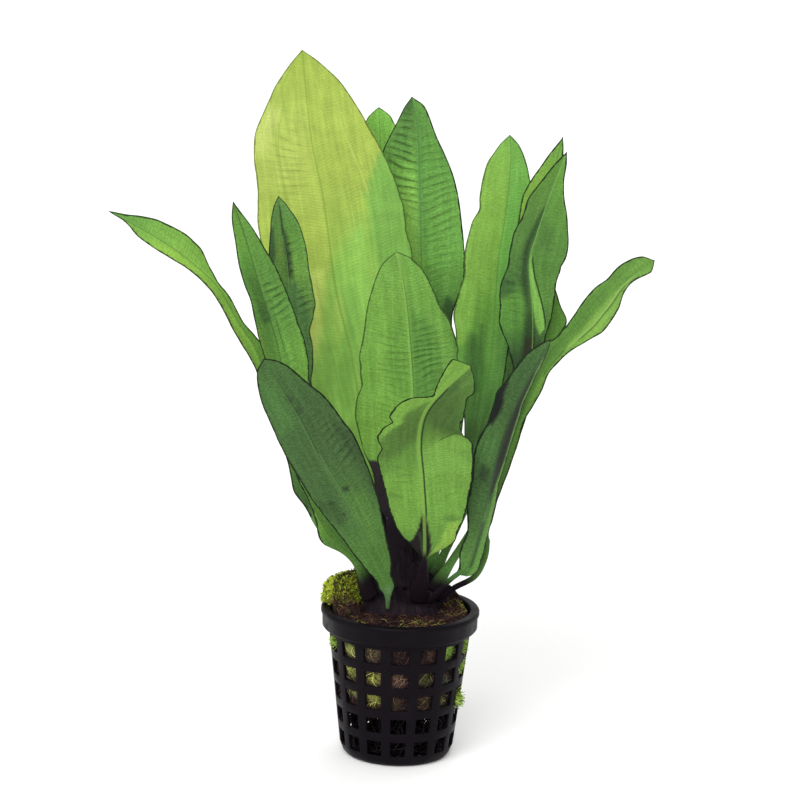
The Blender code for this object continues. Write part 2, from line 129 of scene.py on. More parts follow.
# Fibres, moss and roots: how many, their radii at either end, and their shades with each one's share
TOP_FIBRES = 1500
SIDE_FIBRES = 1300
MOSS_BLADES = 1500
HANGING_ROOTS = 120
LYING_ROOTS = 60
FIBRE_STEPS = 8
TOP_FIBRE_RADII = (0.14, 0.06)
SIDE_FIBRE_RADII = (0.16, 0.08)
SIDE_FIBRE_STEP = 0.7
SIDE_FIBRE_TONES = (0.5, 0.8, 1.1, 1.4, 1.8)
MOSS_RADII = (0.26, 0.1)
TUFT_RADII = (0.2, 0.08)
ROOT_BALL_RADIUS = 17.6
FIBRE_SHADES = ((34, 24, 28), (52, 34, 34), (82, 54, 44), (112, 82, 58), (104, 104, 50), (158, 150, 84))
DULL_SHARES = (10, 9, 5, 1.5, 0.6, 0.3)
OLIVE_SHARES = (3, 4, 4, 4, 6, 3)
MOSS_SHADES = ((164, 182, 52), (188, 198, 74), (128, 142, 40), (98, 130, 44), (104, 72, 38), (44, 36, 26))
MOSS_SHARES = (9, 6, 6, 2, 1, 1.5)
MOSS_INNER_SHARES = (4, 2, 4, 3, 6, 5)
TUFT_SHADES = ((158, 190, 84), (184, 208, 104), (122, 154, 62), (84, 108, 48))
ROOT_SHADES = ((17, 12, 16), (22, 16, 20), (30, 22, 24), (58, 48, 42))
ROOT_SHARES = (10, 8, 3, 0.4)
# Olive spots on the plug's top: x, y, radius
OLIVE_SPOTS = ((7, -18, 8), (21, 2, 6.5), (-14, -16, 3), (3, 20, 8), (-20, -4, 3))
# Tufts: degrees round the pot, height, spread, reach, number of strands
TUFTS = (
    (-163, 41.0, 1.3, 2.4, 70), (-17, 21.5, 1.7, 3.6, 170), (-17, 41.0, 2.2, 1.6, 140),
    (-17, 34.0, 2.2, 1.4, 140), (150, 33.0, 2.0, 2.0, 90), (60, 40.0, 2.0, 2.0, 90),
)

# Crown, and the dark sheaths round the leaf feet, partly the plant's sheathing bases and partly
# dark sheets that paint the shade among the petioles: foot x and y, tip x, y and height, half width
CROWN_MIDDLE = (0.6, 0.0)
CROWN_FOOT = 50.9
CROWN_HEIGHT = 6.4
CROWN_RADII = (13.4, 7.8)
CROWN_SUNK = 0.6
CROWN_RINGS = 26
CROWN_STEPS = 64
SHEATH_ROWS = 18
SHEATHS = (
    (-1.5, 2.0, -3.0, 9.0, 82.0, 3.4), (3.0, 3.4, 1.6, 11.0, 78.0, 3.6), (6.0, 2.6, 5.0, 9.0, 72.0, 3.0),
    (1.0, -1.6, 0.4, 2.5, 72.0, 3.4), (4.6, -3.4, 5.2, -6.0, 70.0, 3.0), (8.4, -0.6, 9.6, 2.0, 64.0, 2.6),
    (11.5, -2.0, 17.0, -4.0, 61.0, 2.4), (-8.0, -2.6, -12.0, -4.0, 66.0, 3.0),
    (-10.6, -0.6, -14.4, 0.4, 63.0, 2.4), (-5.0, 0.6, -8.6, 7.0, 71.0, 3.0),
    (-1.4, -4.6, -1.0, -6.0, 61.0, 2.8), (2.4, -5.6, 3.0, -8.0, 60.0, 3.0),
    (8.0, -4.4, 10.0, -8.0, 60.0, 2.4), (5.0, 5.6, 7.0, 14.0, 68.0, 2.8),
    (-1.0, 6.4, -1.0, 17.0, 72.0, 3.0), (-7.0, 4.4, -13.0, 9.6, 67.0, 2.8),
)

# Leaf sections
TOWARDS_VIEWER = np.array((0.0, -1.0, 0.0))
PETIOLE_ROWS = 30
BLADE_ROWS = 260
LAST_ROW = 0.998
HALF_COLUMNS = 15
STATIONS = (0.0, 0.1, 0.25, 0.4, 0.55, 0.7, 0.82, 0.91, 0.97, 1.0)
BLADE_OPENS = 0.16
NARROWEST = 0.15
BLADE_HALF_THICKNESS = 0.24
MARGIN_HALF_THICKNESS = 0.13
MIDRIB_HALF_THICKNESS = 0.8
MIDRIB_REACH = 0.9

# Leaf relief: frill of the outline, ripples between the veins, quilting, and the margins' wave
FRILL = 0.22
FRILL_LENGTH = 5.0
RIPPLE_DEPTH = 0.16
RIPPLE_SLOPE = 0.32
RIPPLE_LIMIT = 1.4
RIPPLE_WANDER = 2.6
RIPPLE_STAGGER = 0.5
STAGGER_SIZE = 2.2
QUILT_DEPTH = 0.45
QUILT_SIZE = 6.0
QUILT_STRETCH = (0.5, 0.35)
WAVE_SHARE = 0.07
WAVE_LENGTH = 11.0
WAVE_POWER = 2.2

# Leaf look, in mm or shares of the blade; ripples have (wave where a band starts, wave where it is
# full, factor) for the painted shade band and the painted highlight band over the ripple relief
BLADE_FADE = 0.05
MIDRIB_BLEND = 3.0
LINE_FADE = 0.03
NO_RIM = 9.0
RIPPLE_SHADE_AND_LIGHT = ((0.35, 0.95, 0.52), (-0.3, -0.95, 1.18))
LONG_VEINS = (0.34, 0.64, 0.84)
MARGIN_LINE = (0.68, 0.4)
FINE_VEIN_PITCH = 1.1
FINE_VEIN_SLOPE = 0.3
UNDERSIDE_SHARE = 0.2
LIGHT_GAIN = 1.35

# Leaf colours, as display values
PALE_LIME = (198, 213, 118)
FRESH = (122, 172, 80)
LEAF = (110, 160, 71)
MOSSY = (96, 145, 67)
DARK = (78, 112, 60)
DEEP = (60, 90, 52)
SHADE = (44, 62, 44)
BLACKISH = (30, 34, 34)
MARGIN_COLOUR = (30, 44, 26)
# painted shadow colour at the leaf feet, where the crowded crown shades them
CROWN_SHADOW_COLOUR = (30, 21, 29)
UNDERSIDE = (150, 176, 120)

# What a leaf has where its own entry in LEAVES doesn't say
USUAL = dict(
    stalk=(70, 112, 58),
    sheath=(1.4, 16.0),
    shadowed_foot=(24.0, 10.0),
    foot_radius=1.5,
    stem_radius=1.1,
    turn=((0, 0), (1, 0)),
    wings=(),
    swings=(),
    patches=(),
    ripples=(),
    pitch=2.8,
    rib=(DARK, 0.3, 0.5),
    lines=(),
    margin=0.9,
    grain=1.0,
)

# Each leaf has the points of its midline from crown to tip, the share of that line that is
# petiole, and the half widths of its blade at STATIONS on either side of the midrib, as seen
# from the front. Swings change them (side, share of the blade, spread, mm), and wings widen the
# foot (side, mm from the crown, spread, mm). Turn says how its face turns about the midline
# (share of the blade, degrees), and fold how far both halves rise towards the viewer (degrees,
# at the blade's foot and tip). The petiole has a radius at its foot and above it, and a sheath
# (mm wider, mm long).
# Its look follows: the gain brightens or darkens it all, painted light that evens out how much
# light reaches each leaf; stalk is the petiole's colour, and the dark foot gives the mm from the crown
# where that is full and where the crown's colour, painted as its shadow, is full; ground has the
# colours of its left and right half at shares of the blade, mostly darker at the foot as painted
# shade of the crown; patches are (colour, amount, softness in mm, corners as shares along and
# across), the leaf's own tones along with painted shade and painted light from folds, from
# neighbouring leaves and from light through the blade; ripples (along, across, half length, half
# width, strength) with a pitch in mm set the relief and its painted shade and highlight bands; rib
# is the midrib's (colour, half width in mm, amount); lines are up to two thin ones (colour, half
# width in mm, amount, course along and across); margin and grain are strengths.
LEAVES = {}
LEAVES["leaf_far_left"] = dict(
    painted_light_gain=1.1,
    stalk=(92, 136, 64),
    sheath=(1.2, 14),
    wings=((-1, 30, 8, 1.6), (1, 30, 10, 1.4)),
    shadowed_foot=(22, 12),
    midline=(
        (-11.2, 0, 55.9), (-15.8, 1, 69), (-26.6, 2, 79), (-36.5, 2, 95), (-43.5, 2, 115),
        (-52, 3, 140), (-58.5, 3, 150), (-65, 3, 161), (-74, 2, 170), (-83, 0, 177), (-93, -2, 183),
        (-102, -4, 188),
    ),
    petiole=0.2,
    left=(1.1, 1.8, 3, 2.8, 3, 3, 3.7, 3, 0.8, 0),
    right=(1.1, 2.5, 4, 4.5, 2, 3, 7, 5, 1.5, 0),
    swings=(
        (-1, 0.09, 0.04, 1.5), (-1, 0.22, 0.1, -1.6), (-1, 0.49, 0.05, 1.2), (-1, 0.74, 0.07, -0.5),
        (-1, 0.94, 0.03, -1.0), (1, 0.66, 0.03, -1.0), (1, 0.745, 0.03, 0.9), (1, 0.84, 0.05, -0.5),
        (1, 0.93, 0.03, -0.5),
    ),
    turn=((0, 20), (0.45, 40), (0.68, 35), (0.85, 0), (1, 0)),
    fold=(15, 5),
    ground=(
        (0.0, DEEP, MOSSY), (0.3, LEAF, MOSSY), (0.5, (134, 178, 76), (110, 156, 68)),
        (0.65, (128, 174, 72), (120, 168, 72)), (0.8, (140, 184, 76), (126, 174, 76)),
        (0.9, (122, 170, 74), (112, 160, 72)), (1.0, MOSSY, MOSSY),
    ),
    ripples=((0.8, 0.3, 0.15, 0.7, 0.25),),
)
LEAVES["leaf_left"] = dict(
    painted_light_gain=0.88,
    stalk=(96, 142, 66),
    sheath=(1.4, 14),
    wings=((-1, 28, 5, 2.0), (1, 26, 12, 2.6)),
    shadowed_foot=(17, 8),
    midline=(
        (-10, -3.7, 55.9), (-15.8, -6, 69), (-25.6, -8.5, 79.5), (-34, -10, 97), (-40, -10, 126),
        (-45, -9, 147), (-50, -8, 162), (-55, -6, 178), (-60.3, -4, 192.6),
    ),
    petiole=0.17,
    left=(1.1, 2.5, 3, 5.5, 7.8, 7, 6.8, 4.7, 1.8, 0),
    right=(1.1, 3, 5, 7.8, 9.6, 8.7, 6.8, 3.8, 1.3, 0),
    swings=(
        (-1, 0.14, 0.07, -2.0), (-1, 0.63, 0.06, 0.8), (-1, 0.73, 0.03, -0.9), (-1, 0.96, 0.03, 0.7),
        (1, 0.48, 0.04, -0.7), (1, 0.64, 0.04, -0.5), (1, 0.86, 0.05, -0.3),
    ),
    turn=((0, 15), (0.5, 30), (1, 20)),
    fold=(25, 28),
    ground=(
        (0.0, (104, 152, 66), (92, 138, 62)), (0.12, (124, 172, 78), (104, 152, 68)),
        (0.2, LEAF, MOSSY), (0.45, (116, 168, 78), (116, 168, 74)),
        (0.58, (112, 164, 76), (114, 166, 74)), (0.68, (104, 154, 72), (100, 148, 68)),
        (0.78, (102, 154, 72), (96, 144, 66)), (0.9, (122, 180, 78), (106, 158, 70)), (1.0, LEAF, LEAF),
    ),
    patches=(
        (DEEP, 0.5, 0.9, ((0.715, -0.6), (0.71, 0.05), (0.66, 0.1), (0.655, -0.4), (0.68, -0.6))),
        (DARK, 0.35, 1.2, ((0.79, -0.6), (0.79, 0.0), (0.72, 0.05), (0.72, -0.65))),
        ((132, 174, 78), 0.7, 0.8, ((0.67, -1.1), (0.65, -0.8), (0.5, -0.7), (0.45, -1.1))),
        ((122, 174, 74), 0.6, 2.0, ((0.58, 0.55), (0.58, 1.0), (0.46, 1.0), (0.46, 0.6))),
    ),
    ripples=((0.72, 0.5, 0.13, 0.8, 1.0), (0.7, -0.4, 0.1, 0.7, 0.7), (0.5, 0.3, 0.12, 0.8, 0.5)),
    lines=(
        (DEEP, 0.16, 0.45, ((0.98, 0.0), (0.56, 0.02))),
        (DEEP, 0.15, 0.6, ((0.67, 0.22), (0.55, 0.22))),
    ),
    grain=1.3,
)
LEAVES["leaf_left_back"] = dict(
    painted_light_gain=1.75,
    midline=(
        (-7.5, 2.8, 57.4), (-14, 9, 69), (-24, 16, 86), (-31, 20, 106), (-37, 22, 127), (-41, 22, 150),
        (-43, 21, 171), (-46, 20, 191),
    ),
    petiole=0.2,
    left=(1.1, 3, 6, 8.5, 9.5, 9, 7.5, 5.3, 2.9, 0),
    right=(1.1, 2.5, 3.5, 4.8, 7.2, 9.4, 8.6, 6.6, 3.4, 0),
    swings=(
        (1, 0.42, 0.03, -1.3), (1, 0.58, 0.03, -1.2), (1, 0.67, 0.03, 0.7), (1, 0.78, 0.05, -0.5),
        (1, 0.97, 0.03, -0.4),
    ),
    turn=((0, 10), (1, 5)),
    fold=(30, 32),
    ground=(
        (0.0, SHADE, SHADE), (0.4, DEEP, DEEP), (0.6, DARK, (76, 108, 52)), (0.68, DARK, (76, 108, 52)),
        (0.78, (84, 118, 56), (89, 127, 56)), (0.9, (81, 115, 56), (76, 114, 52)), (1.0, DARK, DARK),
    ),
    patches=(
        (SHADE, 0.75, 1.0, ((0.91, -1.1), (0.91, -0.75), (0.84, -0.6), (0.79, -0.7), (0.78, -1.1))),
        ((104, 124, 62), 0.6, 0.9, ((0.87, -0.45), (0.87, -0.25), (0.81, -0.25), (0.81, -0.4))),
        ((34, 44, 34), 0.8, 1.3, (
            (0.9, -0.06), (0.89, 0.1), (0.86, 0.14), (0.83, 0.2), (0.79, 0.22), (0.75, 0.2),
            (0.75, 0.02), (0.8, -0.02), (0.86, -0.04),
        )),
        (SHADE, 0.7, 0.8, ((0.97, -0.12), (0.97, 0.05), (0.88, 0.05), (0.88, -0.14))),
        (DEEP, 0.7, 1.5, (
            (0.73, -0.1), (0.74, 0.35), (0.68, 0.6), (0.6, 0.9), (0.5, 0.9), (0.5, -0.1),
        )),
    ),
    ripples=((0.68, 0.6, 0.1, 0.6, 0.9), (0.85, 0.4, 0.12, 0.5, 0.5), (0.81, 0.12, 0.1, 0.3, 1.4)),
    lines=((BLACKISH, 0.16, 0.8, ((0.98, -0.05), (0.9, -0.02), (0.72, 0.1))),),
    grain=1.5,
)
LEAVES["leaf_back_tall"] = dict(
    painted_light_gain=0.95,
    sheath=(2.8, 34),
    stalk=SHADE,
    shadowed_foot=(42, 28),
    midline=(
        (-2.6, 3.4, 58.2), (-4.5, 12, 69), (-9, 22, 84), (-14, 30, 104), (-20, 35, 133), (-26, 38, 156),
        (-31, 41, 186), (-36, 43, 208), (-40, 47, 238),
    ),
    petiole=0.17,
    left=(1.1, 6, 13, 19, 23.5, 23, 20.2, 12.7, 4.9, 0),
    right=(1.1, 6, 15, 23, 28.5, 25.8, 20.2, 13.6, 5.6, 0),
    swings=(
        (-1, 0.25, 0.06, 3.0), (-1, 0.63, 0.05, 1.0), (-1, 0.74, 0.04, -0.8), (-1, 0.88, 0.05, -0.8),
        (1, 0.58, 0.03, -0.9), (1, 0.73, 0.05, -0.5), (1, 0.5, 0.03, 0.5),
    ),
    turn=((0, 5), (1, 5)),
    fold=(12, 6),
    # ground and patches: the lime is partly the leaf's own paler tone and partly painted light shining
    # through the blade; the greener areas are painted shade where leaves behind block that light, and the
    # brightest low patches offset the real shade that its neighbours cast
    ground=(
        (0.0, (110, 160, 76), (106, 156, 76)), (0.2, (172, 224, 112), (160, 212, 104)),
        (0.35, (196, 234, 116), (164, 214, 104)), (0.45, (200, 232, 108), (162, 206, 96)),
        (0.55, (190, 216, 98), (162, 198, 88)), (0.7, (180, 201, 94), (168, 192, 86)),
        (0.85, (180, 201, 97), (173, 195, 88)), (1.0, (162, 188, 80), (166, 190, 84)),
    ),
    patches=(
        ((158, 212, 98), 0.85, 3.0, (
            (0.63, 0.5), (0.6, 0.34), (0.57, 0.16), (0.53, 0.0), (0.5, -0.1), (0.46, -0.2),
            (0.39, -0.43), (0.33, -0.74), (0.27, -1.1), (0.0, -1.1), (0.0, 1.1), (0.5, 1.1),
        )),
        ((130, 182, 84), 0.95, 0.9, (
            (0.765, 1.1), (0.745, 0.94), (0.72, 0.8), (0.695, 0.67), (0.67, 0.57), (0.63, 0.5),
            (0.6, 0.48), (0.54, 0.5), (0.5, 0.6), (0.5, 1.1),
        )),
        ((170, 198, 84), 0.6, 0.7, (
            (0.66, 0.5), (0.66, 0.56), (0.57, 0.5), (0.49, 0.5), (0.49, 0.43), (0.58, 0.43),
        )),
        ((226, 246, 128), 0.9, 2.2, (
            (0.52, -0.12), (0.47, -0.24), (0.39, -0.48), (0.33, -0.8), (0.26, -1.2), (0.42, -1.2),
            (0.52, -0.9),
        )),
        ((196, 234, 112), 0.6, 2.0, (
            (0.46, 0.0), (0.44, 0.08), (0.38, 0.02), (0.36, -0.2), (0.42, -0.2),
        )),
        ((134, 188, 88), 0.6, 2.0, (
            (0.48, 0.14), (0.47, 0.26), (0.4, 0.26), (0.33, 0.1), (0.26, -0.1), (0.2, -0.25),
            (0.2, -0.45), (0.28, -0.38), (0.35, -0.12), (0.41, 0.04),
        )),
        ((134, 186, 88), 0.5, 1.8, (
            (0.36, -0.35), (0.35, -0.5), (0.25, -0.7), (0.2, -0.7), (0.26, -0.5),
        )),
        (PALE_LIME, 0.8, 2.5, ((0.89, -0.95), (0.87, -0.6), (0.8, -0.72), (0.79, -1.0))),
        ((188, 206, 104), 0.5, 4.0, ((0.8, -0.9), (0.82, -0.2), (0.74, -0.15), (0.72, -0.8))),
    ),
    ripples=((0.79, -0.45, 0.13, 0.6, 0.45), (0.7, -0.5, 0.1, 0.6, 0.25), (0.5, 0.5, 0.4, 1.0, 0.12)),
    rib=((138, 168, 66), 0.5, 0.55),
    lines=(
        ((150, 180, 74), 0.25, 0.5, ((0.9, -0.55), (0.75, -0.58), (0.55, -0.55))),
        ((196, 212, 110), 0.35, 0.5, ((0.85, 0.55), (0.65, 0.6))),
    ),
    margin=0.6,
    grain=0.4,
)
LEAVES["leaf_back"] = dict(
    painted_light_gain=1.6,
    sheath=(2.8, 34),
    stalk=SHADE,
    shadowed_foot=(50, 36),
    midline=(
        (0.2, 6.4, 56.3), (-0.5, 28, 83), (-4, 42, 116), (-7, 52, 149), (-10, 58, 181),
        (-13, 63, 216.5),
    ),
    petiole=0.3,
    left=(1.1, 3, 7, 9.5, 10.5, 11, 9.5, 7.5, 4.2, 0),
    right=(1.1, 3, 7, 9.5, 10.5, 11, 9.5, 7.2, 4.2, 0),
    fold=(12, 8),
    ground=(
        (0.0, DEEP, DEEP), (0.4, LEAF, LEAF), (0.85, (124, 174, 78), (120, 170, 76)), (1.0, LEAF, LEAF),
    ),
    ripples=((0.8, 0.2, 0.2, 0.9, 0.3),),
    margin=0.7,
)
LEAVES["leaf_back_right"] = dict(
    painted_light_gain=1.1,
    sheath=(2.8, 34),
    stalk=SHADE,
    shadowed_foot=(34, 22),
    midline=(
        (3, 3.2, 58.4), (4, 14, 68), (6, 25, 84), (7, 35, 110), (6, 41, 134), (4, 45, 159),
        (3, 48, 182), (2, 50, 196), (1, 51, 211), (-1.4, 53, 222),
    ),
    petiole=0.2,
    left=(1.1, 5, 10, 15, 18, 19, 15, 9.8, 4.4, 0),
    right=(1.1, 5, 9, 10.5, 15.2, 15, 11.4, 6, 3.8, 0),
    swings=((-1, 0.72, 0.08, 0.4), (1, 0.46, 0.05, -1.4), (1, 0.6, 0.05, 0.8), (1, 0.72, 0.05, -0.5)),
    turn=((0, -5), (1, -5)),
    fold=(14, 8),
    ground=(
        (0.0, SHADE, SHADE), (0.3, DEEP, DEEP), (0.45, LEAF, (90, 130, 66)),
        (0.52, (128, 180, 82), (104, 154, 72)), (0.62, (150, 202, 92), (112, 166, 76)),
        (0.74, (142, 194, 88), (106, 158, 72)), (0.82, (116, 168, 76), (100, 152, 70)),
        (0.95, (84, 126, 60), (92, 140, 64)), (1.0, DEEP, MOSSY),
    ),
    patches=(
        ((82, 134, 70), 0.4, 1.4, (
            (0.97, -0.02), (0.95, 0.14), (0.6, 0.12), (0.6, -0.1), (0.8, -0.08),
        )),
        # painted shadow where leaf_right_light lies over this leaf's lower right edge
        (DEEP, 0.9, 1.2, (
            (0.5, 0.64), (0.49, 0.84), (0.465, 1.1), (0.42, 1.1), (0.42, 0.6), (0.46, 0.6),
        )),
        ((84, 130, 62), 0.4, 2.2, ((0.58, 0.12), (0.56, 0.42), (0.5, 0.6), (0.46, 0.5), (0.5, 0.2))),
        ((84, 128, 62), 0.5, 2.0, ((0.93, -0.9), (0.93, -0.3), (0.84, -0.25), (0.84, -0.8))),
    ),
    ripples=(
        (0.88, -0.5, 0.16, 0.8, 1.1), (0.78, -0.3, 0.14, 0.6, 0.9), (0.8, 0.5, 0.25, 0.9, 0.6),
        (0.6, 0.4, 0.25, 0.9, 0.45),
    ),
    margin=1.0,
    grain=1.2,
)
LEAVES["leaf_middle"] = dict(
    painted_light_gain=1.02,
    sheath=(3.0, 30),
    stalk=SHADE,
    # the wider left foot carries the near-black patch below: a dark sheet painted as shadow among the petiole
    # feet
    wings=((-1, 28, 14, 6.5),),
    shadowed_foot=(32, 22),
    midline=(
        (0.2, -0.6, 58.4), (0.3, 4, 68), (2, 11, 87), (2.4, 16, 104), (2, 18.5, 121.6),
        (0, 19.5, 143.6), (-2, 18, 159.8), (-5, 15, 173.8),
    ),
    petiole=0.2,
    left=(1.1, 7, 16.6, 20, 17.6, 15.5, 12.8, 9.1, 4.8, 0),
    right=(1.1, 9, 16, 18, 17.8, 15.6, 10.9, 8, 4.3, 0),
    swings=(
        (-1, 0.18, 0.06, -1.6), (-1, 0.5, 0.03, -1.0), (-1, 0.62, 0.04, 0.8), (1, 0.78, 0.03, -0.6),
    ),
    turn=((0, 0), (1, -5)),
    fold=(10, 4),
    ground=(
        (0.0, DARK, DARK), (0.15, LEAF, LEAF), (0.3, (128, 178, 76), (112, 160, 70)),
        (0.5, (120, 171, 74), (104, 152, 70)), (0.65, (120, 170, 74), (108, 156, 72)),
        (0.82, (127, 175, 78), (118, 167, 75)), (1.0, FRESH, FRESH),
    ),
    patches=(
        # near-black painted shadow over the blade's lower left and its widened foot
        ((50, 40, 47), 0.97, 0.6, (
            (-0.3, -1.9), (0.19, -1.9), (0.205, -1.2), (0.212, -0.99), (0.214, -0.84), (0.2, -0.6),
            (0.1, -0.3), (-0.3, 0.2),
        )),
        ((144, 190, 86), 0.55, 1.0, (
            (0.78, -0.5), (0.78, -0.4), (0.5, -0.58), (0.36, -0.6), (0.36, -0.72), (0.55, -0.68),
        )),
        ((136, 184, 82), 0.5, 1.0, ((0.74, 0.66), (0.74, 0.8), (0.52, 0.8), (0.52, 0.68))),
        ((88, 138, 62), 0.6, 2.2, ((0.78, 0.1), (0.72, 0.5), (0.5, 0.52), (0.42, 0.3), (0.42, 0.1))),
        ((104, 154, 68), 0.5, 3.0, ((0.75, -0.1), (0.75, -0.4), (0.5, -0.45), (0.45, -0.1))),
    ),
    ripples=((0.6, 0.35, 0.25, 0.7, 0.8), (0.6, -0.4, 0.3, 0.7, 0.5), (0.35, -0.5, 0.2, 0.6, 0.3)),
    pitch=2.3,
    rib=((148, 194, 92), 0.6, 0.55),
    lines=(
        (DEEP, 0.14, 0.55, ((0.93, 0.03), (0.4, 0.03))),
        (MOSSY, 0.16, 0.5, ((0.6, -0.62), (0.35, -0.68))),
    ),
    margin=0.75,
)
LEAVES["leaf_front"] = dict(
    painted_light_gain=0.82,
    sheath=(1.8, 20),
    stalk=SHADE,
    shadowed_foot=(27, 19),
    midline=(
        (5.6, -6, 56.2), (7.5, -12, 68), (7.6, -17, 78), (7.0, -22, 90), (5.6, -26, 104),
        (4.2, -30, 118), (6, -34, 129), (12.4, -37, 138), (20.5, -39, 146.5),
    ),
    petiole=0.2,
    left=(1.2, 7.2, 11.2, 13.0, 14.4, 10.6, 2.7, 5.0, 6.4, 0),
    right=(1.2, 10.8, 14.4, 17.6, 19.0, 17.2, 10.8, 8.8, 5, 0),
    swings=(
        (-1, 0.08, 0.05, -1.0), (-1, 0.555, 0.022, -1.9), (-1, 0.605, 0.012, 0.6),
        (-1, 0.655, 0.014, -2.4), (-1, 0.71, 0.03, -0.1), (-1, 0.79, 0.03, -1.9), (1, 0.15, 0.05, -1.0),
        (1, 0.64, 0.03, 0.5), (1, 0.9, 0.03, -1.4), (1, 0.82, 0.02, 1.0), (1, 0.94, 0.02, 0.6),
    ),
    fold=(8, 20),
    # ground: the upper right half is darker, painted shade of the turned leaf
    ground=(
        (0.0, DEEP, DEEP), (0.06, LEAF, LEAF), (0.2, (124, 174, 74), (120, 170, 74)),
        (0.4, (126, 176, 76), (124, 173, 75)), (0.5, (112, 160, 70), (124, 173, 76)),
        (0.6, (96, 134, 62), (104, 146, 64)), (0.7, (98, 136, 62), (84, 118, 57)),
        (0.8, (118, 164, 72), (82, 116, 56)), (1.0, (130, 176, 78), (92, 130, 60)),
    ),
    # patches: painted light on the upturned left margin, the lower right lobe and the folded piece at the
    # foot; painted shade below the turned-up part and on the upper right half
    patches=(
        ((132, 181, 78), 0.95, 1.0, (
            (1.02, -1.2), (1.02, 0.0), (0.9, -0.12), (0.8, -0.2), (0.74, -0.3), (0.7, -0.5),
            (0.65, -0.66), (0.6, -0.85), (0.55, -1.2),
        )),
        ((90, 126, 59), 0.85, 2.2, (
            (0.7, -0.3), (0.7, 0.05), (0.6, 0.0), (0.54, -0.35), (0.5, -0.75), (0.53, -1.0),
            (0.6, -0.75), (0.65, -0.5),
        )),
        ((78, 110, 54), 0.8, 1.6, (
            (0.93, 0.05), (0.9, 0.5), (0.76, 0.95), (0.72, 0.7), (0.66, 0.25), (0.78, 0.05),
        )),
        ((130, 179, 80), 0.95, 0.8, (
            (0.52, 0.12), (0.6, 0.36), (0.66, 0.6), (0.7, 0.82), (0.68, 1.2), (0.42, 1.2), (0.42, 0.12),
        )),
        ((112, 158, 70), 0.6, 1.2, (
            (0.66, 0.85), (0.6, 0.8), (0.5, 0.82), (0.46, 0.9), (0.5, 1.1), (0.66, 1.1),
        )),
        # near-black painted shadow round the petiole at the blade's foot
        ((38, 31, 34), 0.97, 0.6, (
            (-0.2, -1.6), (0.07, -1.6), (0.09, -1.05), (0.095, -0.8), (0.105, -0.6), (0.13, -0.38),
            (0.16, -0.22), (0.23, -0.04), (0.22, 0.03), (0.15, 0.13), (0.1, 0.18), (0.05, 0.3),
            (-0.2, 0.5),
        )),
        ((60, 84, 52), 0.7, 0.4, ((0.14, -0.24), (0.14, -0.12), (-0.1, -0.2), (-0.1, -0.5))),
        ((152, 196, 84), 0.95, 0.8, (
            (0.22, 0.9), (0.19, 0.68), (0.1, 0.5), (0.0, 0.4), (0.0, 1.3), (0.12, 1.2), (0.21, 1.1),
        )),
        ((92, 136, 60), 0.7, 1.0, ((0.235, 0.5), (0.22, 0.95), (0.2, 0.9), (0.205, 0.5))),
        ((92, 136, 60), 0.6, 1.0, ((0.36, -0.95), (0.33, -0.55), (0.32, -0.55), (0.34, -0.95))),
        ((100, 146, 64), 0.6, 1.4, ((0.5, -1.0), (0.48, -0.5), (0.45, -0.6), (0.46, -1.0))),
    ),
    ripples=((0.35, 0.5, 0.25, 0.6, 0.3), (0.42, -0.5, 0.15, 0.6, 0.4)),
    rib=((142, 188, 84), 0.8, 0.6),
    lines=(
        ((40, 58, 34), 0.3, 0.9, ((0.88, 0.08), (0.7, 0.06), (0.5, 0.06), (0.2, 0.06))),
        ((58, 84, 46), 0.3, 0.8, ((0.72, 0.8), (0.66, 0.6), (0.58, 0.32))),
    ),
    margin=1.0,
)
LEAVES["leaf_right_light"] = dict(
    painted_light_gain=1.07,
    sheath=(1.6, 20),
    stalk=(92, 138, 66),
    shadowed_foot=(15, 6),
    midline=(
        (6.3, 5.5, 56.7), (12, 10, 71), (19.5, 14, 88), (24, 15, 106), (27, 15.5, 123), (29, 16.5, 145),
        (30, 17, 172), (32, 19, 188), (33, 20.5, 206), (32.4, 21.5, 214.3),
    ),
    petiole=0.26,
    left=(1.1, 4, 9, 13.2, 13.4, 12, 10, 8, 4.2, 0),
    right=(1.1, 4, 8, 11, 13, 12.5, 9, 6, 3, 0),
    swings=(
        (-1, 0.48, 0.04, 1.6), (-1, 0.6, 0.04, -1.5), (-1, 0.78, 0.03, -1.0), (-1, 0.89, 0.05, 0.5),
        (-1, 0.38, 0.02, -0.6),
    ),
    fold=(22, 10),
    ground=(
        (0.0, SHADE, SHADE), (0.15, (76, 112, 58), (70, 102, 54)), (0.3, (96, 148, 68), (92, 140, 66)),
        (0.4, (104, 158, 70), (92, 142, 66)), (0.5, (116, 168, 72), (96, 154, 68)),
        (0.6, (132, 179, 78), (98, 158, 68)), (0.8, (135, 181, 79), (108, 166, 74)),
        (0.92, (131, 178, 78), (112, 166, 76)), (1.0, FRESH, LEAF),
    ),
    patches=(
        ((134, 182, 80), 0.9, 1.5, (
            (0.58, -1.1), (0.58, -0.45), (0.48, -0.5), (0.4, -0.75), (0.37, -1.1),
        )),
        ((66, 102, 54), 0.7, 1.6, (
            (0.43, -0.62), (0.42, -0.42), (0.34, -0.34), (0.26, -0.3), (0.24, -0.7), (0.35, -0.75),
        )),
        ((58, 90, 50), 0.55, 0.9, (
            (0.46, -0.36), (0.45, -0.26), (0.36, -0.22), (0.3, -0.2), (0.34, -0.34),
        )),
        ((116, 168, 74), 0.5, 2.5, (
            (0.58, -0.25), (0.58, 0.1), (0.4, 0.2), (0.3, 0.2), (0.34, -0.05), (0.48, -0.1),
        )),
        ((78, 124, 60), 0.5, 2.0, ((0.5, 0.35), (0.48, 0.8), (0.36, 0.9), (0.34, 0.4))),
    ),
    ripples=((0.55, -0.3, 0.2, 0.6, 0.3), (0.8, -0.4, 0.15, 0.5, 0.2)),
    rib=((84, 134, 62), 0.35, 0.5),
    grain=0.8,
    margin=0.7,
)
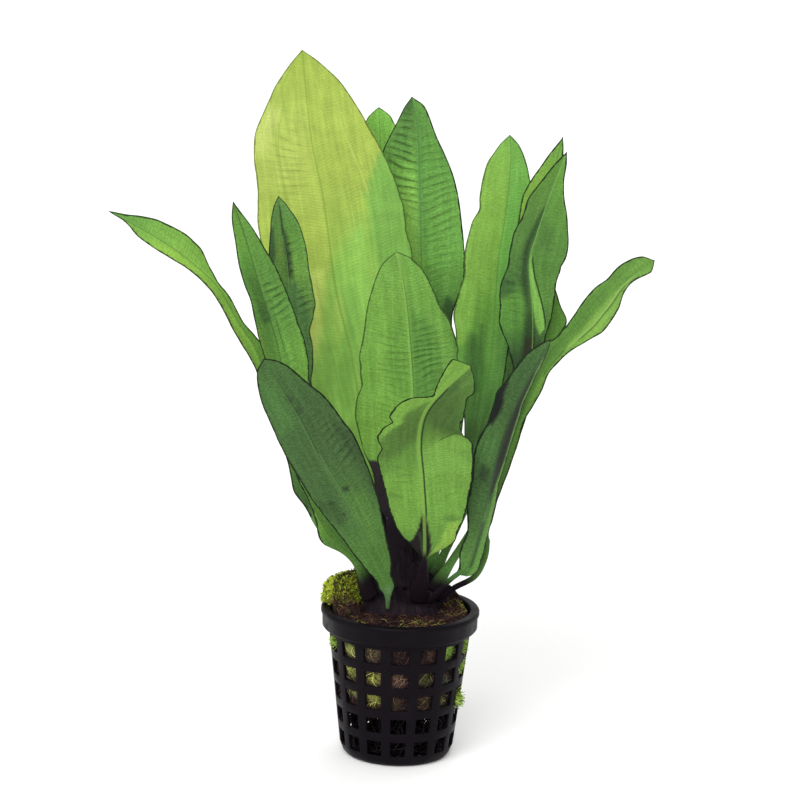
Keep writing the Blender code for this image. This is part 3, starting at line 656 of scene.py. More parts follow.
LEAVES["leaf_right_back"] = dict(
    painted_light_gain=1.02,
    sheath=(1.4, 16),
    stalk=(84, 126, 62),
    shadowed_foot=(15, 6),
    midline=(
        (8.8, 3.4, 57), (16, 5.6, 73), (23, 8, 89), (31, 9, 106), (37, 10, 124), (42, 10, 145),
        (43, 9, 163), (44, 9, 180), (46, 9, 198), (50, 9, 216),
    ),
    petiole=0.28,
    left=(1.1, 3, 6, 8, 9, 9, 7, 4.4, 1.6, 0),
    right=(1.1, 3, 7, 9, 9, 7, 5, 3, 1.2, 0),
    swings=((1, 0.36, 0.05, -3.0), (1, 0.47, 0.035, 2.4), (1, 0.6, 0.06, -3.6), (-1, 0.82, 0.06, 1.6)),
    fold=(15, 10),
    ground=(
        (0.0, SHADE, SHADE), (0.3, DARK, MOSSY), (0.5, LEAF, (108, 158, 70)),
        (0.7, (130, 178, 76), FRESH), (0.85, (138, 182, 78), (118, 170, 74)), (1.0, LEAF, LEAF),
    ),
    patches=(((92, 132, 58), 0.8, 0.5, ((0.69, -0.9), (0.69, -0.8), (0.67, -0.8), (0.67, -0.9))),),
)
LEAVES["leaf_right_dark"] = dict(
    painted_light_gain=1.1,
    sheath=(1.2, 14),
    stalk=(92, 136, 66),
    shadowed_foot=(13, 5),
    midline=(
        (10.5, 0.4, 57), (17, 1, 68), (24, 2, 80), (30, 3, 93), (35, 4, 108), (39, 4, 126),
        (42, 3, 142), (41.5, 2, 160), (40, 2, 174), (42, 2, 183), (46, 1, 197), (51, -2, 212.6),
    ),
    petiole=0.3,
    left=(1.1, 3, 5, 9.5, 12, 7.8, 7, 4.4, 1.9, 0),
    right=(1.1, 3, 4, 4.4, 8.5, 12.3, 8.2, 3.2, 1.4, 0),
    swings=(
        (-1, 0.32, 0.06, -1.0), (-1, 0.47, 0.04, 1.3), (-1, 0.64, 0.03, -1.5), (-1, 0.72, 0.03, 0.8),
        (-1, 0.84, 0.04, 0.4), (1, 0.48, 0.04, 0.6), (1, 0.62, 0.02, 0.5), (1, 0.86, 0.03, -0.5),
    ),
    fold=(25, 20),
    # ground: dark over its lower third, painted shade where leaf_front_right covers it
    ground=(
        (0.0, SHADE, SHADE), (0.25, SHADE, SHADE), (0.36, DEEP, SHADE),
        (0.46, (92, 142, 64), (80, 120, 58)), (0.54, (96, 146, 64), (88, 130, 60)),
        (0.6, (78, 116, 58), (84, 126, 58)), (0.7, (86, 126, 62), (84, 126, 58)),
        (0.82, (90, 130, 62), (88, 132, 58)), (0.93, (92, 136, 60), (98, 146, 62)), (1.0, MOSSY, MOSSY),
    ),
    # patches: painted light on the bulging half beside the midrib and painted shade in the twisted valley
    # next to it
    patches=(
        ((126, 176, 82), 0.95, 0.6, (
            (0.67, 0.03), (0.6, 0.16), (0.55, 0.3), (0.49, 0.56), (0.45, 0.78), (0.43, 0.5),
            (0.46, 0.15), (0.55, -0.04),
        )),
        ((46, 66, 42), 0.8, 1.6, (
            (0.82, -0.03), (0.8, -0.18), (0.7, -0.36), (0.6, -0.3), (0.5, -0.18), (0.43, -0.32),
            (0.36, -0.5), (0.33, 0.2), (0.43, 0.22), (0.5, -0.02), (0.6, -0.08), (0.7, -0.08),
        )),
        ((56, 52, 42), 0.8, 0.9, ((0.42, -0.25), (0.42, 0.15), (0.33, 0.2), (0.3, -0.4), (0.36, -0.4))),
        ((60, 94, 52), 0.6, 1.2, ((0.62, -1.1), (0.6, -0.5), (0.57, -0.5), (0.56, -0.8), (0.56, -1.1))),
        (DEEP, 0.25, 2.2, ((0.78, 0.1), (0.76, 0.5), (0.7, 0.4), (0.7, 0.1))),
    ),
    ripples=((0.6, -0.6, 0.12, 0.6, 0.6), (0.7, 0.5, 0.12, 0.6, 0.4), (0.48, -0.5, 0.1, 0.6, 0.35)),
    rib=((120, 164, 86), 0.28, 0.6),
    lines=(
        ((34, 52, 34), 0.3, 0.9, ((0.68, 0.06), (0.6, 0.18), (0.55, 0.33), (0.49, 0.6), (0.44, 0.85))),
    ),
    margin=1.0,
)
LEAVES["leaf_front_right"] = dict(
    painted_light_gain=0.98,
    sheath=(0.6, 9),
    foot_radius=1.0,
    stem_radius=0.85,
    stalk=(76, 116, 60),
    shadowed_foot=(19, 12),
    midline=(
        (9.6, -5, 55.6), (16.5, -11, 65), (21.5, -15, 71), (24, -18, 79), (26.5, -22, 91),
        (28.5, -25, 102), (31.5, -28, 116), (36, -30, 131), (41, -31, 143), (47, -31, 154.3),
    ),
    petiole=0.17,
    left=(1.2, 4, 4.9, 6.2, 8.2, 6.8, 5.9, 4.6, 2.3, 0),
    right=(1.2, 5, 5.5, 5, 5.2, 4.4, 3.8, 3, 1.3, 0),
    swings=(
        (-1, 0.19, 0.05, -1.1), (-1, 0.31, 0.03, 0.5), (-1, 0.62, 0.04, -0.8), (-1, 0.75, 0.03, 1.0),
        (1, 0.02, 0.04, 2.6), (1, 0.74, 0.05, -0.4),
    ),
    turn=((0, 20), (1, 30)),
    fold=(-20, -25),
    grain=1.5,
    ground=(
        (0.0, MOSSY, MOSSY), (0.1, (84, 124, 61), MOSSY), (0.25, (70, 102, 54), (84, 126, 61)),
        (0.4, (66, 98, 54), (60, 88, 50)), (0.55, (80, 120, 62), (50, 68, 46)),
        (0.7, (68, 98, 54), (52, 72, 46)), (0.85, (66, 98, 55), (60, 86, 50)), (1.0, DARK, DARK),
    ),
    # patches: painted light along the folded right margin and painted shade in the dark V of the fold
    patches=(
        ((108, 154, 74), 0.9, 0.35, (
            (0.93, 0.5), (0.92, 1.2), (0.4, 1.2), (0.0, 1.2), (0.0, 0.6), (0.15, 0.5), (0.3, 0.5),
            (0.4, 0.66), (0.5, 0.78), (0.65, 0.7), (0.8, 0.6),
        )),
        ((42, 48, 38), 0.8, 1.0, (
            (0.86, 0.25), (0.85, 0.55), (0.65, 0.68), (0.5, 0.72), (0.38, 0.5), (0.33, 0.25),
            (0.45, 0.05), (0.58, -0.06), (0.7, 0.0),
        )),
        ((30, 30, 32), 0.95, 0.7, (
            (0.79, -1.2), (0.79, -0.85), (0.75, -0.7), (0.72, -0.6), (0.68, -0.62), (0.63, -0.8),
            (0.64, -1.2),
        )),
        ((46, 62, 42), 0.6, 0.8, ((0.24, 0.1), (0.24, 0.4), (0.04, 0.4), (0.04, 0.15))),
        ((46, 62, 42), 0.6, 0.8, ((0.48, -0.6), (0.46, -0.2), (0.4, -0.2), (0.42, -0.7))),
    ),
    ripples=((0.3, -0.2, 0.25, 0.8, 0.4), (0.7, -0.4, 0.2, 0.6, 0.4)),
    rib=(DEEP, 0.3, 0.4),
    margin=1.0,
)
LEAVES["leaf_far_right"] = dict(
    painted_light_gain=0.76,
    sheath=(0.4, 8),
    foot_radius=1.0,
    stem_radius=0.95,
    stalk=(92, 136, 66),
    shadowed_foot=(22, 14),
    midline=(
        (12.6, -2, 55.6), (18.5, -4.2, 60.6), (25.2, -7, 65.6), (28.4, -9, 73), (29, -9.6, 80),
        (30, -11, 92), (33.5, -13, 107), (38.5, -13, 123), (45.5, -12, 139), (56.5, -9, 152),
        (69.5, -6, 167), (76, -5, 173), (82, -4, 177),
    ),
    petiole=0.22,
    left=(1.2, 3, 5, 6, 6, 5.2, 6.4, 5.8, 3.8, 0),
    right=(1.2, 1.4, 2, 2.2, 2, 4.6, 6, 1.9, 2.8, 0),
    swings=(
        (-1, 0.65, 0.05, -0.8), (-1, 0.86, 0.03, -0.9), (1, 0.02, 0.03, -1.0), (1, 0.22, 0.08, 0.5),
        (1, 0.38, 0.03, -0.7), (1, 0.48, 0.04, 0.7), (1, 0.64, 0.04, -0.8), (1, 0.74, 0.03, 1.0),
        (1, 0.845, 0.04, -1.5),
    ),
    fold=(15, 10),
    ground=(
        (0.0, DARK, DARK), (0.3, DARK, (110, 158, 70)), (0.5, (84, 128, 60), (124, 176, 76)),
        (0.62, (102, 150, 68), (128, 178, 78)), (0.75, (106, 156, 70), (140, 188, 84)),
        (0.88, (112, 162, 74), (130, 178, 82)), (1.0, FRESH, FRESH),
    ),
    patches=(
        ((76, 116, 56), 0.7, 0.9, ((0.64, 0.15), (0.62, 0.45), (0.53, 0.5), (0.53, 0.2))),
        ((124, 174, 80), 0.6, 1.2, ((0.98, -0.6), (0.98, 0.2), (0.9, 0.2), (0.9, -0.6))),
    ),
    ripples=((0.75, -0.3, 0.2, 0.7, 0.3),),
    rib=(MOSSY, 0.2, 0.2),
    lines=(
        ((156, 196, 104), 0.3, 0.85, ((0.94, 0.3), (0.84, 0.28), (0.74, 0.3), (0.62, 0.42))),
        ((60, 96, 48), 0.2, 0.7, ((0.9, 0.46), (0.78, 0.42), (0.66, 0.5))),
    ),
)
LEAVES["leaf_front_left"] = dict(
    painted_light_gain=0.92,
    sheath=(0.0, 8),
    foot_radius=0.7,
    stem_radius=1.0,
    wings=((-1, 11, 3.5, 1.2), (1, 11, 3.5, 1.2)),
    stalk=(112, 156, 96),
    shadowed_foot=(-2, -6),
    midline=(
        (-4.3, -8.7, 54), (-4.7, -14, 62), (-7, -18, 69), (-12, -24, 80), (-20, -31, 97),
        (-28, -37, 112), (-35, -42, 127), (-41, -46, 138), (-47, -50, 149),
    ),
    petiole=0.08,
    left=(1.0, 3.9, 6.7, 9.5, 10, 10, 9, 6.8, 3.9, 0),
    right=(1.0, 4.7, 9, 11.5, 13.5, 12.5, 9.5, 6.2, 3.2, 0),
    swings=(
        (-1, 0.06, 0.03, -0.4), (-1, 0.33, 0.12, -0.7), (-1, 0.54, 0.06, -0.5), (1, 0.07, 0.03, -0.4),
        (1, 0.24, 0.1, -0.8), (1, 0.61, 0.05, 0.6), (1, 0.93, 0.05, 0.5),
    ),
    fold=(-8, -8),
    grain=1.5,
    ground=(
        (0.0, (92, 138, 62), (90, 134, 62)), (0.2, (86, 128, 62), (84, 124, 60)),
        (0.4, (76, 110, 60), (82, 120, 61)), (0.6, (74, 106, 60), (74, 104, 60)),
        (0.8, (76, 110, 61), (73, 104, 60)), (0.93, (80, 118, 62), (76, 110, 60)),
        (1.0, (70, 100, 58), DARK),
    ),
    patches=(
        ((50, 60, 42), 0.5, 0.9, ((0.845, -0.08), (0.85, 0.12), (0.82, 0.15), (0.815, -0.04))),
        ((50, 60, 42), 0.4, 0.9, ((0.795, 0.0), (0.79, 0.2), (0.765, 0.15), (0.77, -0.02))),
        ((44, 48, 38), 0.7, 0.6, ((0.46, 0.15), (0.45, 0.32), (0.435, 0.25), (0.445, 0.12))),
        ((44, 40, 38), 0.8, 0.5, ((0.37, -0.28), (0.365, -0.18), (0.355, -0.2), (0.36, -0.32))),
        ((44, 46, 40), 0.7, 0.5, ((0.425, -0.52), (0.42, -0.4), (0.41, -0.45), (0.415, -0.55))),
        ((58, 80, 48), 0.5, 1.8, ((0.44, -0.9), (0.42, -0.3), (0.34, -0.25), (0.32, -0.8))),
        ((58, 78, 48), 0.55, 1.6, (
            (0.72, 0.7), (0.6, 1.1), (0.42, 1.1), (0.3, 1.1), (0.4, 0.8), (0.58, 0.7),
        )),
        ((92, 140, 70), 0.5, 3.0, ((0.9, -0.8), (0.9, -0.2), (0.75, -0.2), (0.72, -0.8))),
        ((98, 142, 66), 0.5, 2.2, ((0.42, 0.2), (0.4, 0.6), (0.2, 0.6), (0.2, 0.1))),
    ),
    ripples=((0.6, 0.65, 0.17, 0.45, 0.9), (0.75, 0.3, 0.15, 0.5, 0.4), (0.5, -0.3, 0.3, 0.6, 0.3)),
    rib=((96, 138, 76), 0.25, 0.5),
    lines=(
        ((48, 68, 42), 0.15, 0.6, ((0.98, 0.02), (0.8, 0.03), (0.6, 0.05))),
        ((104, 146, 84), 0.18, 0.6, ((0.62, 0.06), (0.45, 0.06), (0.2, 0.08))),
    ),
    margin=1.0,
)
SLOTS = {
    "leaf_light": ("leaf_back_tall", "leaf_middle", "leaf_front", "leaf_right_light", "leaf_right_back"),
    "leaf_mid": ("leaf_far_left", "leaf_left", "leaf_back", "leaf_far_right"),
    "leaf_dark": (
        "leaf_left_back", "leaf_back_right", "leaf_right_dark", "leaf_front_right", "leaf_front_left",
    ),
}


# Small maths


def ease(x):
    """Rise from 0 to 1 with a level start and end."""
    x = np.clip(x, 0.0, 1.0)
    return x * x * (3 - 2 * x)


def smooth_value(places, values, at):
    """Read a curve through (places, values) that never swings past its own points."""
    places, values, at = (np.asarray(a, float) for a in (places, values, at))
    steps = np.diff(places)
    slopes = np.diff(values) / steps
    rates = np.zeros(len(values))
    rates[0], rates[-1] = slopes[0], slopes[-1]
    for i in range(1, len(values) - 1):
        if slopes[i - 1] * slopes[i] > 0:
            rates[i] = 2 * slopes[i - 1] * slopes[i] / (slopes[i - 1] + slopes[i])
    i = np.clip(np.searchsorted(places, at) - 1, 0, len(steps) - 1)
    u = np.clip((at - places[i]) / steps[i], 0.0, 1.0)
    start = (1 + 2 * u) * (1 - u) ** 2 * values[i] + u * (1 - u) ** 2 * steps[i] * rates[i]
    end = u * u * (3 - 2 * u) * values[i + 1] + u * u * (u - 1) * steps[i] * rates[i + 1]
    return start + end


def smooth_line(points, samples=400):
    """Run a smooth curve through points; give places at equal steps of its length."""
    points = [Vector(p) for p in points]
    spans = [(b - a).length for a, b in zip(points, points[1:])]
    places = np.concatenate(([0.0], np.cumsum(spans)))
    rates = []
    for i in range(len(points)):
        before, after = max(i - 1, 0), min(i + 1, len(points) - 1)
        rates.append((points[after] - points[before]) / (places[after] - places[before]))
    fine = []
    for s in np.linspace(0.0, places[-1], samples):
        i = min(max(int(np.searchsorted(places, s)) - 1, 0), len(spans) - 1)
        u = (s - places[i]) / spans[i]
        start = points[i] * ((1 + 2 * u) * (1 - u) ** 2) + rates[i] * (u * (1 - u) ** 2 * spans[i])
        end = points[i + 1] * (u * u * (3 - 2 * u)) + rates[i + 1] * (u * u * (u - 1) * spans[i])
        fine.append(start + end)
    fine = np.array([tuple(p) for p in fine])
    run = np.concatenate(([0.0], np.cumsum(np.linalg.norm(np.diff(fine, axis=0), axis=1))))
    even = np.linspace(0.0, run[-1], samples)
    return np.stack([np.interp(even, run, fine[:, k]) for k in range(3)], axis=1), run[-1]


def sample_line(line, spots):
    """Read a line of points at places between its points."""
    steps = np.arange(len(line))
    return np.stack([np.interp(spots, steps, line[:, k]) for k in range(3)], axis=1)


def unit(a):
    return a / np.linalg.norm(a, axis=-1, keepdims=True)


def towards_viewer(direction):
    """The way at right angles to each direction that faces the viewer most."""
    return unit(TOWARDS_VIEWER - direction * (direction @ TOWARDS_VIEWER)[:, None])


def bumps(patches, along, across):
    """Sum soft patches, each (along, across, half length, half width, amount)."""
    total = np.zeros(np.broadcast(along, across).shape)
    for u, v, half_u, half_v, amount in patches:
        distance = np.hypot((along - u) / half_u, (across - v) / half_v)
        total += amount * ease(1.0 - distance)
    return total


def rough(points, size, seed):
    """Smooth noise from -1 to 1 at points, with lumps of one size."""
    move = Vector((seed * 7.31, seed * 3.17, seed * 5.73))
    return np.array([noise.noise(Vector(p) / size + move) for p in points])


def on_circle(radius, angle, height):
    """A point at a height, a radius away from the pot's axis."""
    return (radius * math.cos(angle), radius * math.sin(angle), height)


def blend_to(start, end, share):
    """Colours between two colours or arrays of colours, with a share of the second for each."""
    return start + (np.array(end, float) - start) * share[..., None]


def inside_by(points, corners):
    """Distance from points to a polygon's edge, over 0 inside it."""
    corners = np.asarray(corners, float)
    nearest = np.full(len(points), 1e9)
    inside = np.zeros(len(points), bool)
    for a, b in zip(corners, np.roll(corners, -1, axis=0)):
        run = b - a
        share = np.clip((points - a) @ run / max(run @ run, 1e-9), 0, 1)
        nearest = np.minimum(nearest, np.linalg.norm(points - a - share[:, None] * run, axis=1))
        crosses = (a[1] > points[:, 1]) != (b[1] > points[:, 1])
        rise = b[1] - a[1] if b[1] != a[1] else 1e-9
        inside ^= crosses & (points[:, 0] < a[0] + (points[:, 1] - a[1]) / rise * run[0])
    return np.where(inside, nearest, -nearest)


# Meshes


def make_piece(name, points, faces, material, replaced, values=None, uv=None, paint=None):
    """One mesh object from points in millimetres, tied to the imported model."""
    mesh = bpy.data.meshes.new(name)
    mesh.from_pydata([tuple(p) for p in np.asarray(points) * MM], [], faces)
    for key, array in (values or {}).items():
        layer = mesh.attributes.new(key, "FLOAT", "POINT")
        layer.data.foreach_set("value", np.asarray(array, np.float32))
    if paint is not None:
        layer = mesh.color_attributes.new("paint", "FLOAT_COLOR", "POINT")
        layer.data.foreach_set("color", linear_array(paint).astype(np.float32).ravel())
    if uv is not None:
        layer = mesh.uv_layers.new(name="flat")
        corners = np.zeros(len(mesh.loops), np.int32)
        mesh.loops.foreach_get("vertex_index", corners)
        layer.data.foreach_set("uv", np.asarray(uv, np.float32)[corners].ravel())
    mesh.materials.append(material)
    mesh.shade_smooth()
    piece = bpy.data.objects.new(name, mesh)
    bpy.context.scene.collection.objects.link(piece)
    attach(piece, "root")
    if replaced:
        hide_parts(*replaced)
    return piece


def ring_faces(rows, columns, first=0):
    """Quads round a stack of closed rings of points, which are numbered from first."""
    faces = []
    for low in range(first, first + (rows - 1) * columns, columns):
        high = low + columns
        for j in range(columns):
            k = (j + 1) % columns
            faces.append((low + j, low + k, high + k, high + j))
    return faces


def sheet_points(middle, thick):
    """Rows of points that run over the front of a sheet and back behind it."""
    return np.concatenate((middle + thick, (middle - thick)[:, ::-1]), axis=1).reshape(-1, 3)


def capped_faces(rows, columns, first=0):
    """The same quads, and a flat face over either end."""
    last = first + (rows - 1) * columns
    caps = [tuple(range(first + columns - 1, first - 1, -1)), tuple(range(last, last + columns))]
    return ring_faces(rows, columns, first) + caps


# Leaves


def column_shares():
    """Across one half of the blade from midrib to margin, closer together at both."""
    even = np.linspace(0.0, 1.0, HALF_COLUMNS)
    return 0.4 * even + 0.6 * ease(even)


def add_swings(width, swings, sign, at):
    """Widen or narrow one side of a leaf in soft bells, each (side, place, spread, mm)."""
    for side, place, spread, change in swings:
        if side == sign:
            width = width + change * np.exp(-(((at - place) / spread) ** 2))
    return width


class LeafGrid:
    """A leaf's rows from crown to tip and columns from margin to margin, and its sizes at them."""

    def __init__(self, name, leaf):
        self.seed = sum(ord(letter) for letter in name)
        line, self.length = smooth_line(leaf["midline"])
        self.tip = line[-1:]
        petiole = leaf["petiole"]
        blade = petiole + (1 - petiole) * np.linspace(0.0, LAST_ROW, BLADE_ROWS)
        self.shares = np.concatenate((np.linspace(0.0, petiole, PETIOLE_ROWS, endpoint=False), blade))
        self.past_petiole = (self.shares - petiole) / (1 - petiole)
        self.along = np.clip(self.past_petiole, 0.0, 1.0)
        self.run = self.shares * self.length
        self.flat = ease(self.along / BLADE_OPENS)

        spots = self.shares * (len(line) - 1)
        self.centre = sample_line(line, spots)
        direction = unit(sample_line(np.gradient(line, axis=0), spots))
        face = towards_viewer(direction)
        places, angles = zip(*leaf["turn"])
        turn = np.radians(smooth_value(places, angles, self.along))[:, None]
        self.face = face * np.cos(turn) + np.cross(direction, face) * np.sin(turn)
        self.side = np.cross(direction, self.face)

        foot_radius = leaf["foot_radius"]
        self.radius = foot_radius + (leaf["stem_radius"] - foot_radius) * ease(self.shares / petiole)
        self.widths = {-1: self.half_width(leaf, "left", -1), 1: self.half_width(leaf, "right", 1)}
        half = column_shares()
        self.across = np.concatenate((-half[:0:-1], half))
        self.sign = np.sign(self.across)[None, :]
        self.width = np.where(self.across[None, :] < 0, self.widths[-1][:, None], self.widths[1][:, None])
        self.out = np.abs(self.across)[None, :] * self.width
        self.rows, self.columns = self.out.shape
        self.run_mm = np.repeat(self.run[:, None], self.columns, axis=1)

    def half_width(self, leaf, side, sign):
        """From midline to margin on one side: the petiole with its sheath, then the blade."""
        width = smooth_value(STATIONS, leaf[side], self.along)
        width = add_swings(width, leaf["swings"], sign, self.along)
        course = np.stack([self.run / FRILL_LENGTH, self.run * 0 + sign, self.run * 0], axis=1)
        width = width + FRILL * rough(course, 1.0, self.seed + 2)
        sheath_width, sheath_length = leaf["sheath"]
        sheath = sheath_width * (1 - ease(self.run / sheath_length))
        in_petiole = self.shares < leaf["petiole"]
        width = np.where(in_petiole, self.radius + sheath, np.maximum(width, NARROWEST))
        return add_swings(width, leaf["wings"], sign, self.run)

    def both_faces(self, array):
        """Values for every point of the mesh, front, back and tip, from those over the grid."""
        array = np.broadcast_to(array, self.out.shape)
        return np.append(np.concatenate((array, array[:, ::-1]), axis=1).ravel(), array[-1, 0])


def leaf_relief(leaf, grid):
    """How far the face stands over its fold, and the strength and phase of the ripples in it."""
    ripple = np.clip(bumps(leaf["ripples"], grid.along[:, None], grid.across[None, :]), 0, RIPPLE_LIMIT)
    stretch_along, stretch_across = QUILT_STRETCH
    course = (grid.run_mm.ravel() * stretch_along, (grid.sign * grid.out).ravel() * stretch_across)
    course = np.stack([*course, np.zeros(grid.out.size)], axis=1)
    wander = rough(course, QUILT_SIZE, grid.seed).reshape(grid.out.shape)
    stagger = rough(course, STAGGER_SIZE, grid.seed + 3).reshape(grid.out.shape)
    phase = grid.run_mm - RIPPLE_SLOPE * grid.out + RIPPLE_WANDER * wander + RIPPLE_STAGGER * stagger
    phase = phase / leaf["pitch"]
    crest = np.sin(2 * math.pi * phase)
    relief = RIPPLE_DEPTH * ripple * crest * ease(grid.out / 2.0) * ease((grid.width - grid.out) / 1.5)
    relief += QUILT_DEPTH * grid.flat[:, None] * wander * ease(grid.out / 3.0)
    for sign in (-1, 1):
        level = np.zeros(grid.rows)
        course = np.stack([grid.run / WAVE_LENGTH, level + sign * 3.0, level], axis=1)
        wave = WAVE_SHARE * rough(course, 1.0, grid.seed + 1)[:, None] * grid.width
        wave = wave * np.abs(grid.across)[None, :] ** WAVE_POWER
        relief += np.where(grid.sign == sign, wave, 0.0) * grid.flat[:, None]
    return relief, ripple, phase


def half_thickness(grid):
    """Round in the petiole, and in the blade thick at the midrib and thin at the margin."""
    rib = MIDRIB_HALF_THICKNESS + (BLADE_HALF_THICKNESS - MIDRIB_HALF_THICKNESS) * grid.along
    near_rib = np.exp(-((grid.out / MIDRIB_REACH) ** 2))
    blade = BLADE_HALF_THICKNESS + (rib[:, None] - BLADE_HALF_THICKNESS) * near_rib
    blade = MARGIN_HALF_THICKNESS + (blade - MARGIN_HALF_THICKNESS) * ease(grid.width - grid.out)
    petiole = grid.radius[:, None] * np.sqrt(np.maximum(1 - grid.across[None, :] ** 2, 0.02))
    return petiole + (blade - petiole) * grid.flat[:, None]


def paint_blade(leaf, along, across, length, half_width):
    """Display colours over the blade: the ground of either half, then its patches."""
    places, *halves = zip(*leaf["ground"])
    left, right = (
        np.stack([np.interp(along, places, [tone[k] for tone in tones]) for k in range(3)], axis=-1)
        for tones in halves
    )
    colour = blend_to(left, right, ease(0.5 + across * half_width / MIDRIB_BLEND))
    colour = blend_to(np.array(leaf["stalk"], float), colour, ease(along / BLADE_FADE))
    flat = np.stack([(across * half_width).ravel(), (along * length).ravel()], axis=1)
    for shade, amount, soft, corners in leaf["patches"]:
        shape = [(v * half_width, u * length) for u, v in corners]
        mask = amount * ease(0.5 + inside_by(flat, shape) / (2 * soft)).reshape(along.shape)
        colour = blend_to(colour, shade, mask)
    return colour


def leaf_shades(leaf, grid):
    """Display colours for every point of the mesh, a little paler on the back."""
    half_width = 0.5 * (max(leaf["left"]) + max(leaf["right"]))
    along = np.broadcast_to(grid.past_petiole[:, None], grid.out.shape)
    across = np.broadcast_to(grid.across[None, :], grid.out.shape)
    colour = paint_blade(leaf, along, across, grid.length * (1 - leaf["petiole"]), half_width)
    under = colour + (np.array(UNDERSIDE, float) - colour) * UNDERSIDE_SHARE
    shades = np.concatenate((colour, under[:, ::-1]), axis=1).reshape(-1, 3)
    return np.concatenate((shades, colour[-1, :1]))


def leaf_values(leaf, grid, ripple, phase):
    """What a leaf's material reads at every point of the mesh."""
    values = {
        "rim_mm": np.where(grid.along[:, None] < 0.01, NO_RIM, grid.width - grid.out),
        "width_mm": grid.width,
        "foot_mm": grid.run_mm,
        "phase": phase,
        "ripple": ripple * ease(grid.out / 1.5),
        "blade": ease(grid.along / BLADE_FADE)[:, None],
    }
    for letter, (_, _, amount, course) in zip("ab", leaf["lines"]):
        places, targets = zip(*sorted(course))
        target = np.interp(grid.along, places, targets)
        reach = np.where(target < 0, grid.widths[-1], grid.widths[1])
        ends = ease((grid.along - places[0]) / LINE_FADE) * ease((places[-1] - grid.along) / LINE_FADE)
        values["line_" + letter] = grid.sign * grid.out - (target * reach)[:, None]
        values["line_" + letter + "_on"] = (amount * ends)[:, None]
    return {key: grid.both_faces(array) for key, array in values.items()}


def make_leaf(name, leaf):
    grid = LeafGrid(name, leaf)
    relief, ripple, phase = leaf_relief(leaf, grid)
    fold_foot, fold_tip = leaf["fold"]
    fold = np.radians(fold_foot + (fold_tip - fold_foot) * grid.along) * grid.flat
    middle = (
        grid.centre[:, None, :]
        + grid.side[:, None, :] * (grid.sign * grid.out * np.cos(fold)[:, None])[:, :, None]
        + grid.face[:, None, :] * (grid.out * np.sin(fold)[:, None] + relief)[:, :, None]
    )
    thick = grid.face[:, None, :] * half_thickness(grid)[:, :, None]
    points = sheet_points(middle, thick)
    ring = 2 * grid.columns
    faces = ring_faces(grid.rows, ring)
    faces.append(tuple(range(ring - 1, -1, -1)))
    tip = len(points)
    faces += [(tip - ring + j, tip - ring + (j + 1) % ring, tip) for j in range(ring)]
    points = np.concatenate((points, grid.tip))
    values = leaf_values(leaf, grid, ripple, phase)
    uv = np.stack([grid.both_faces(grid.sign * grid.out), grid.both_faces(grid.run_mm)], axis=1)
    material = leaf_material(name, leaf)
    return make_piece(
        name + "_blade", points, faces, material, [name], values, uv, leaf_shades(leaf, grid)
    )


# Materials


def linear_array(colours):
    """Display colours from 0 to 255 in rows, as linear colours with an alpha of 1."""
    shares = np.asarray(colours, float) / 255
    low = shares / 12.92
    high = ((shares + 0.055) / 1.055) ** 2.4
    return np.concatenate((np.where(shares <= 0.04045, low, high), np.ones((len(shares), 1))), axis=1)


def linear(colour):
    """One display colour, as a linear colour."""
    return tuple(linear_array([colour])[0])


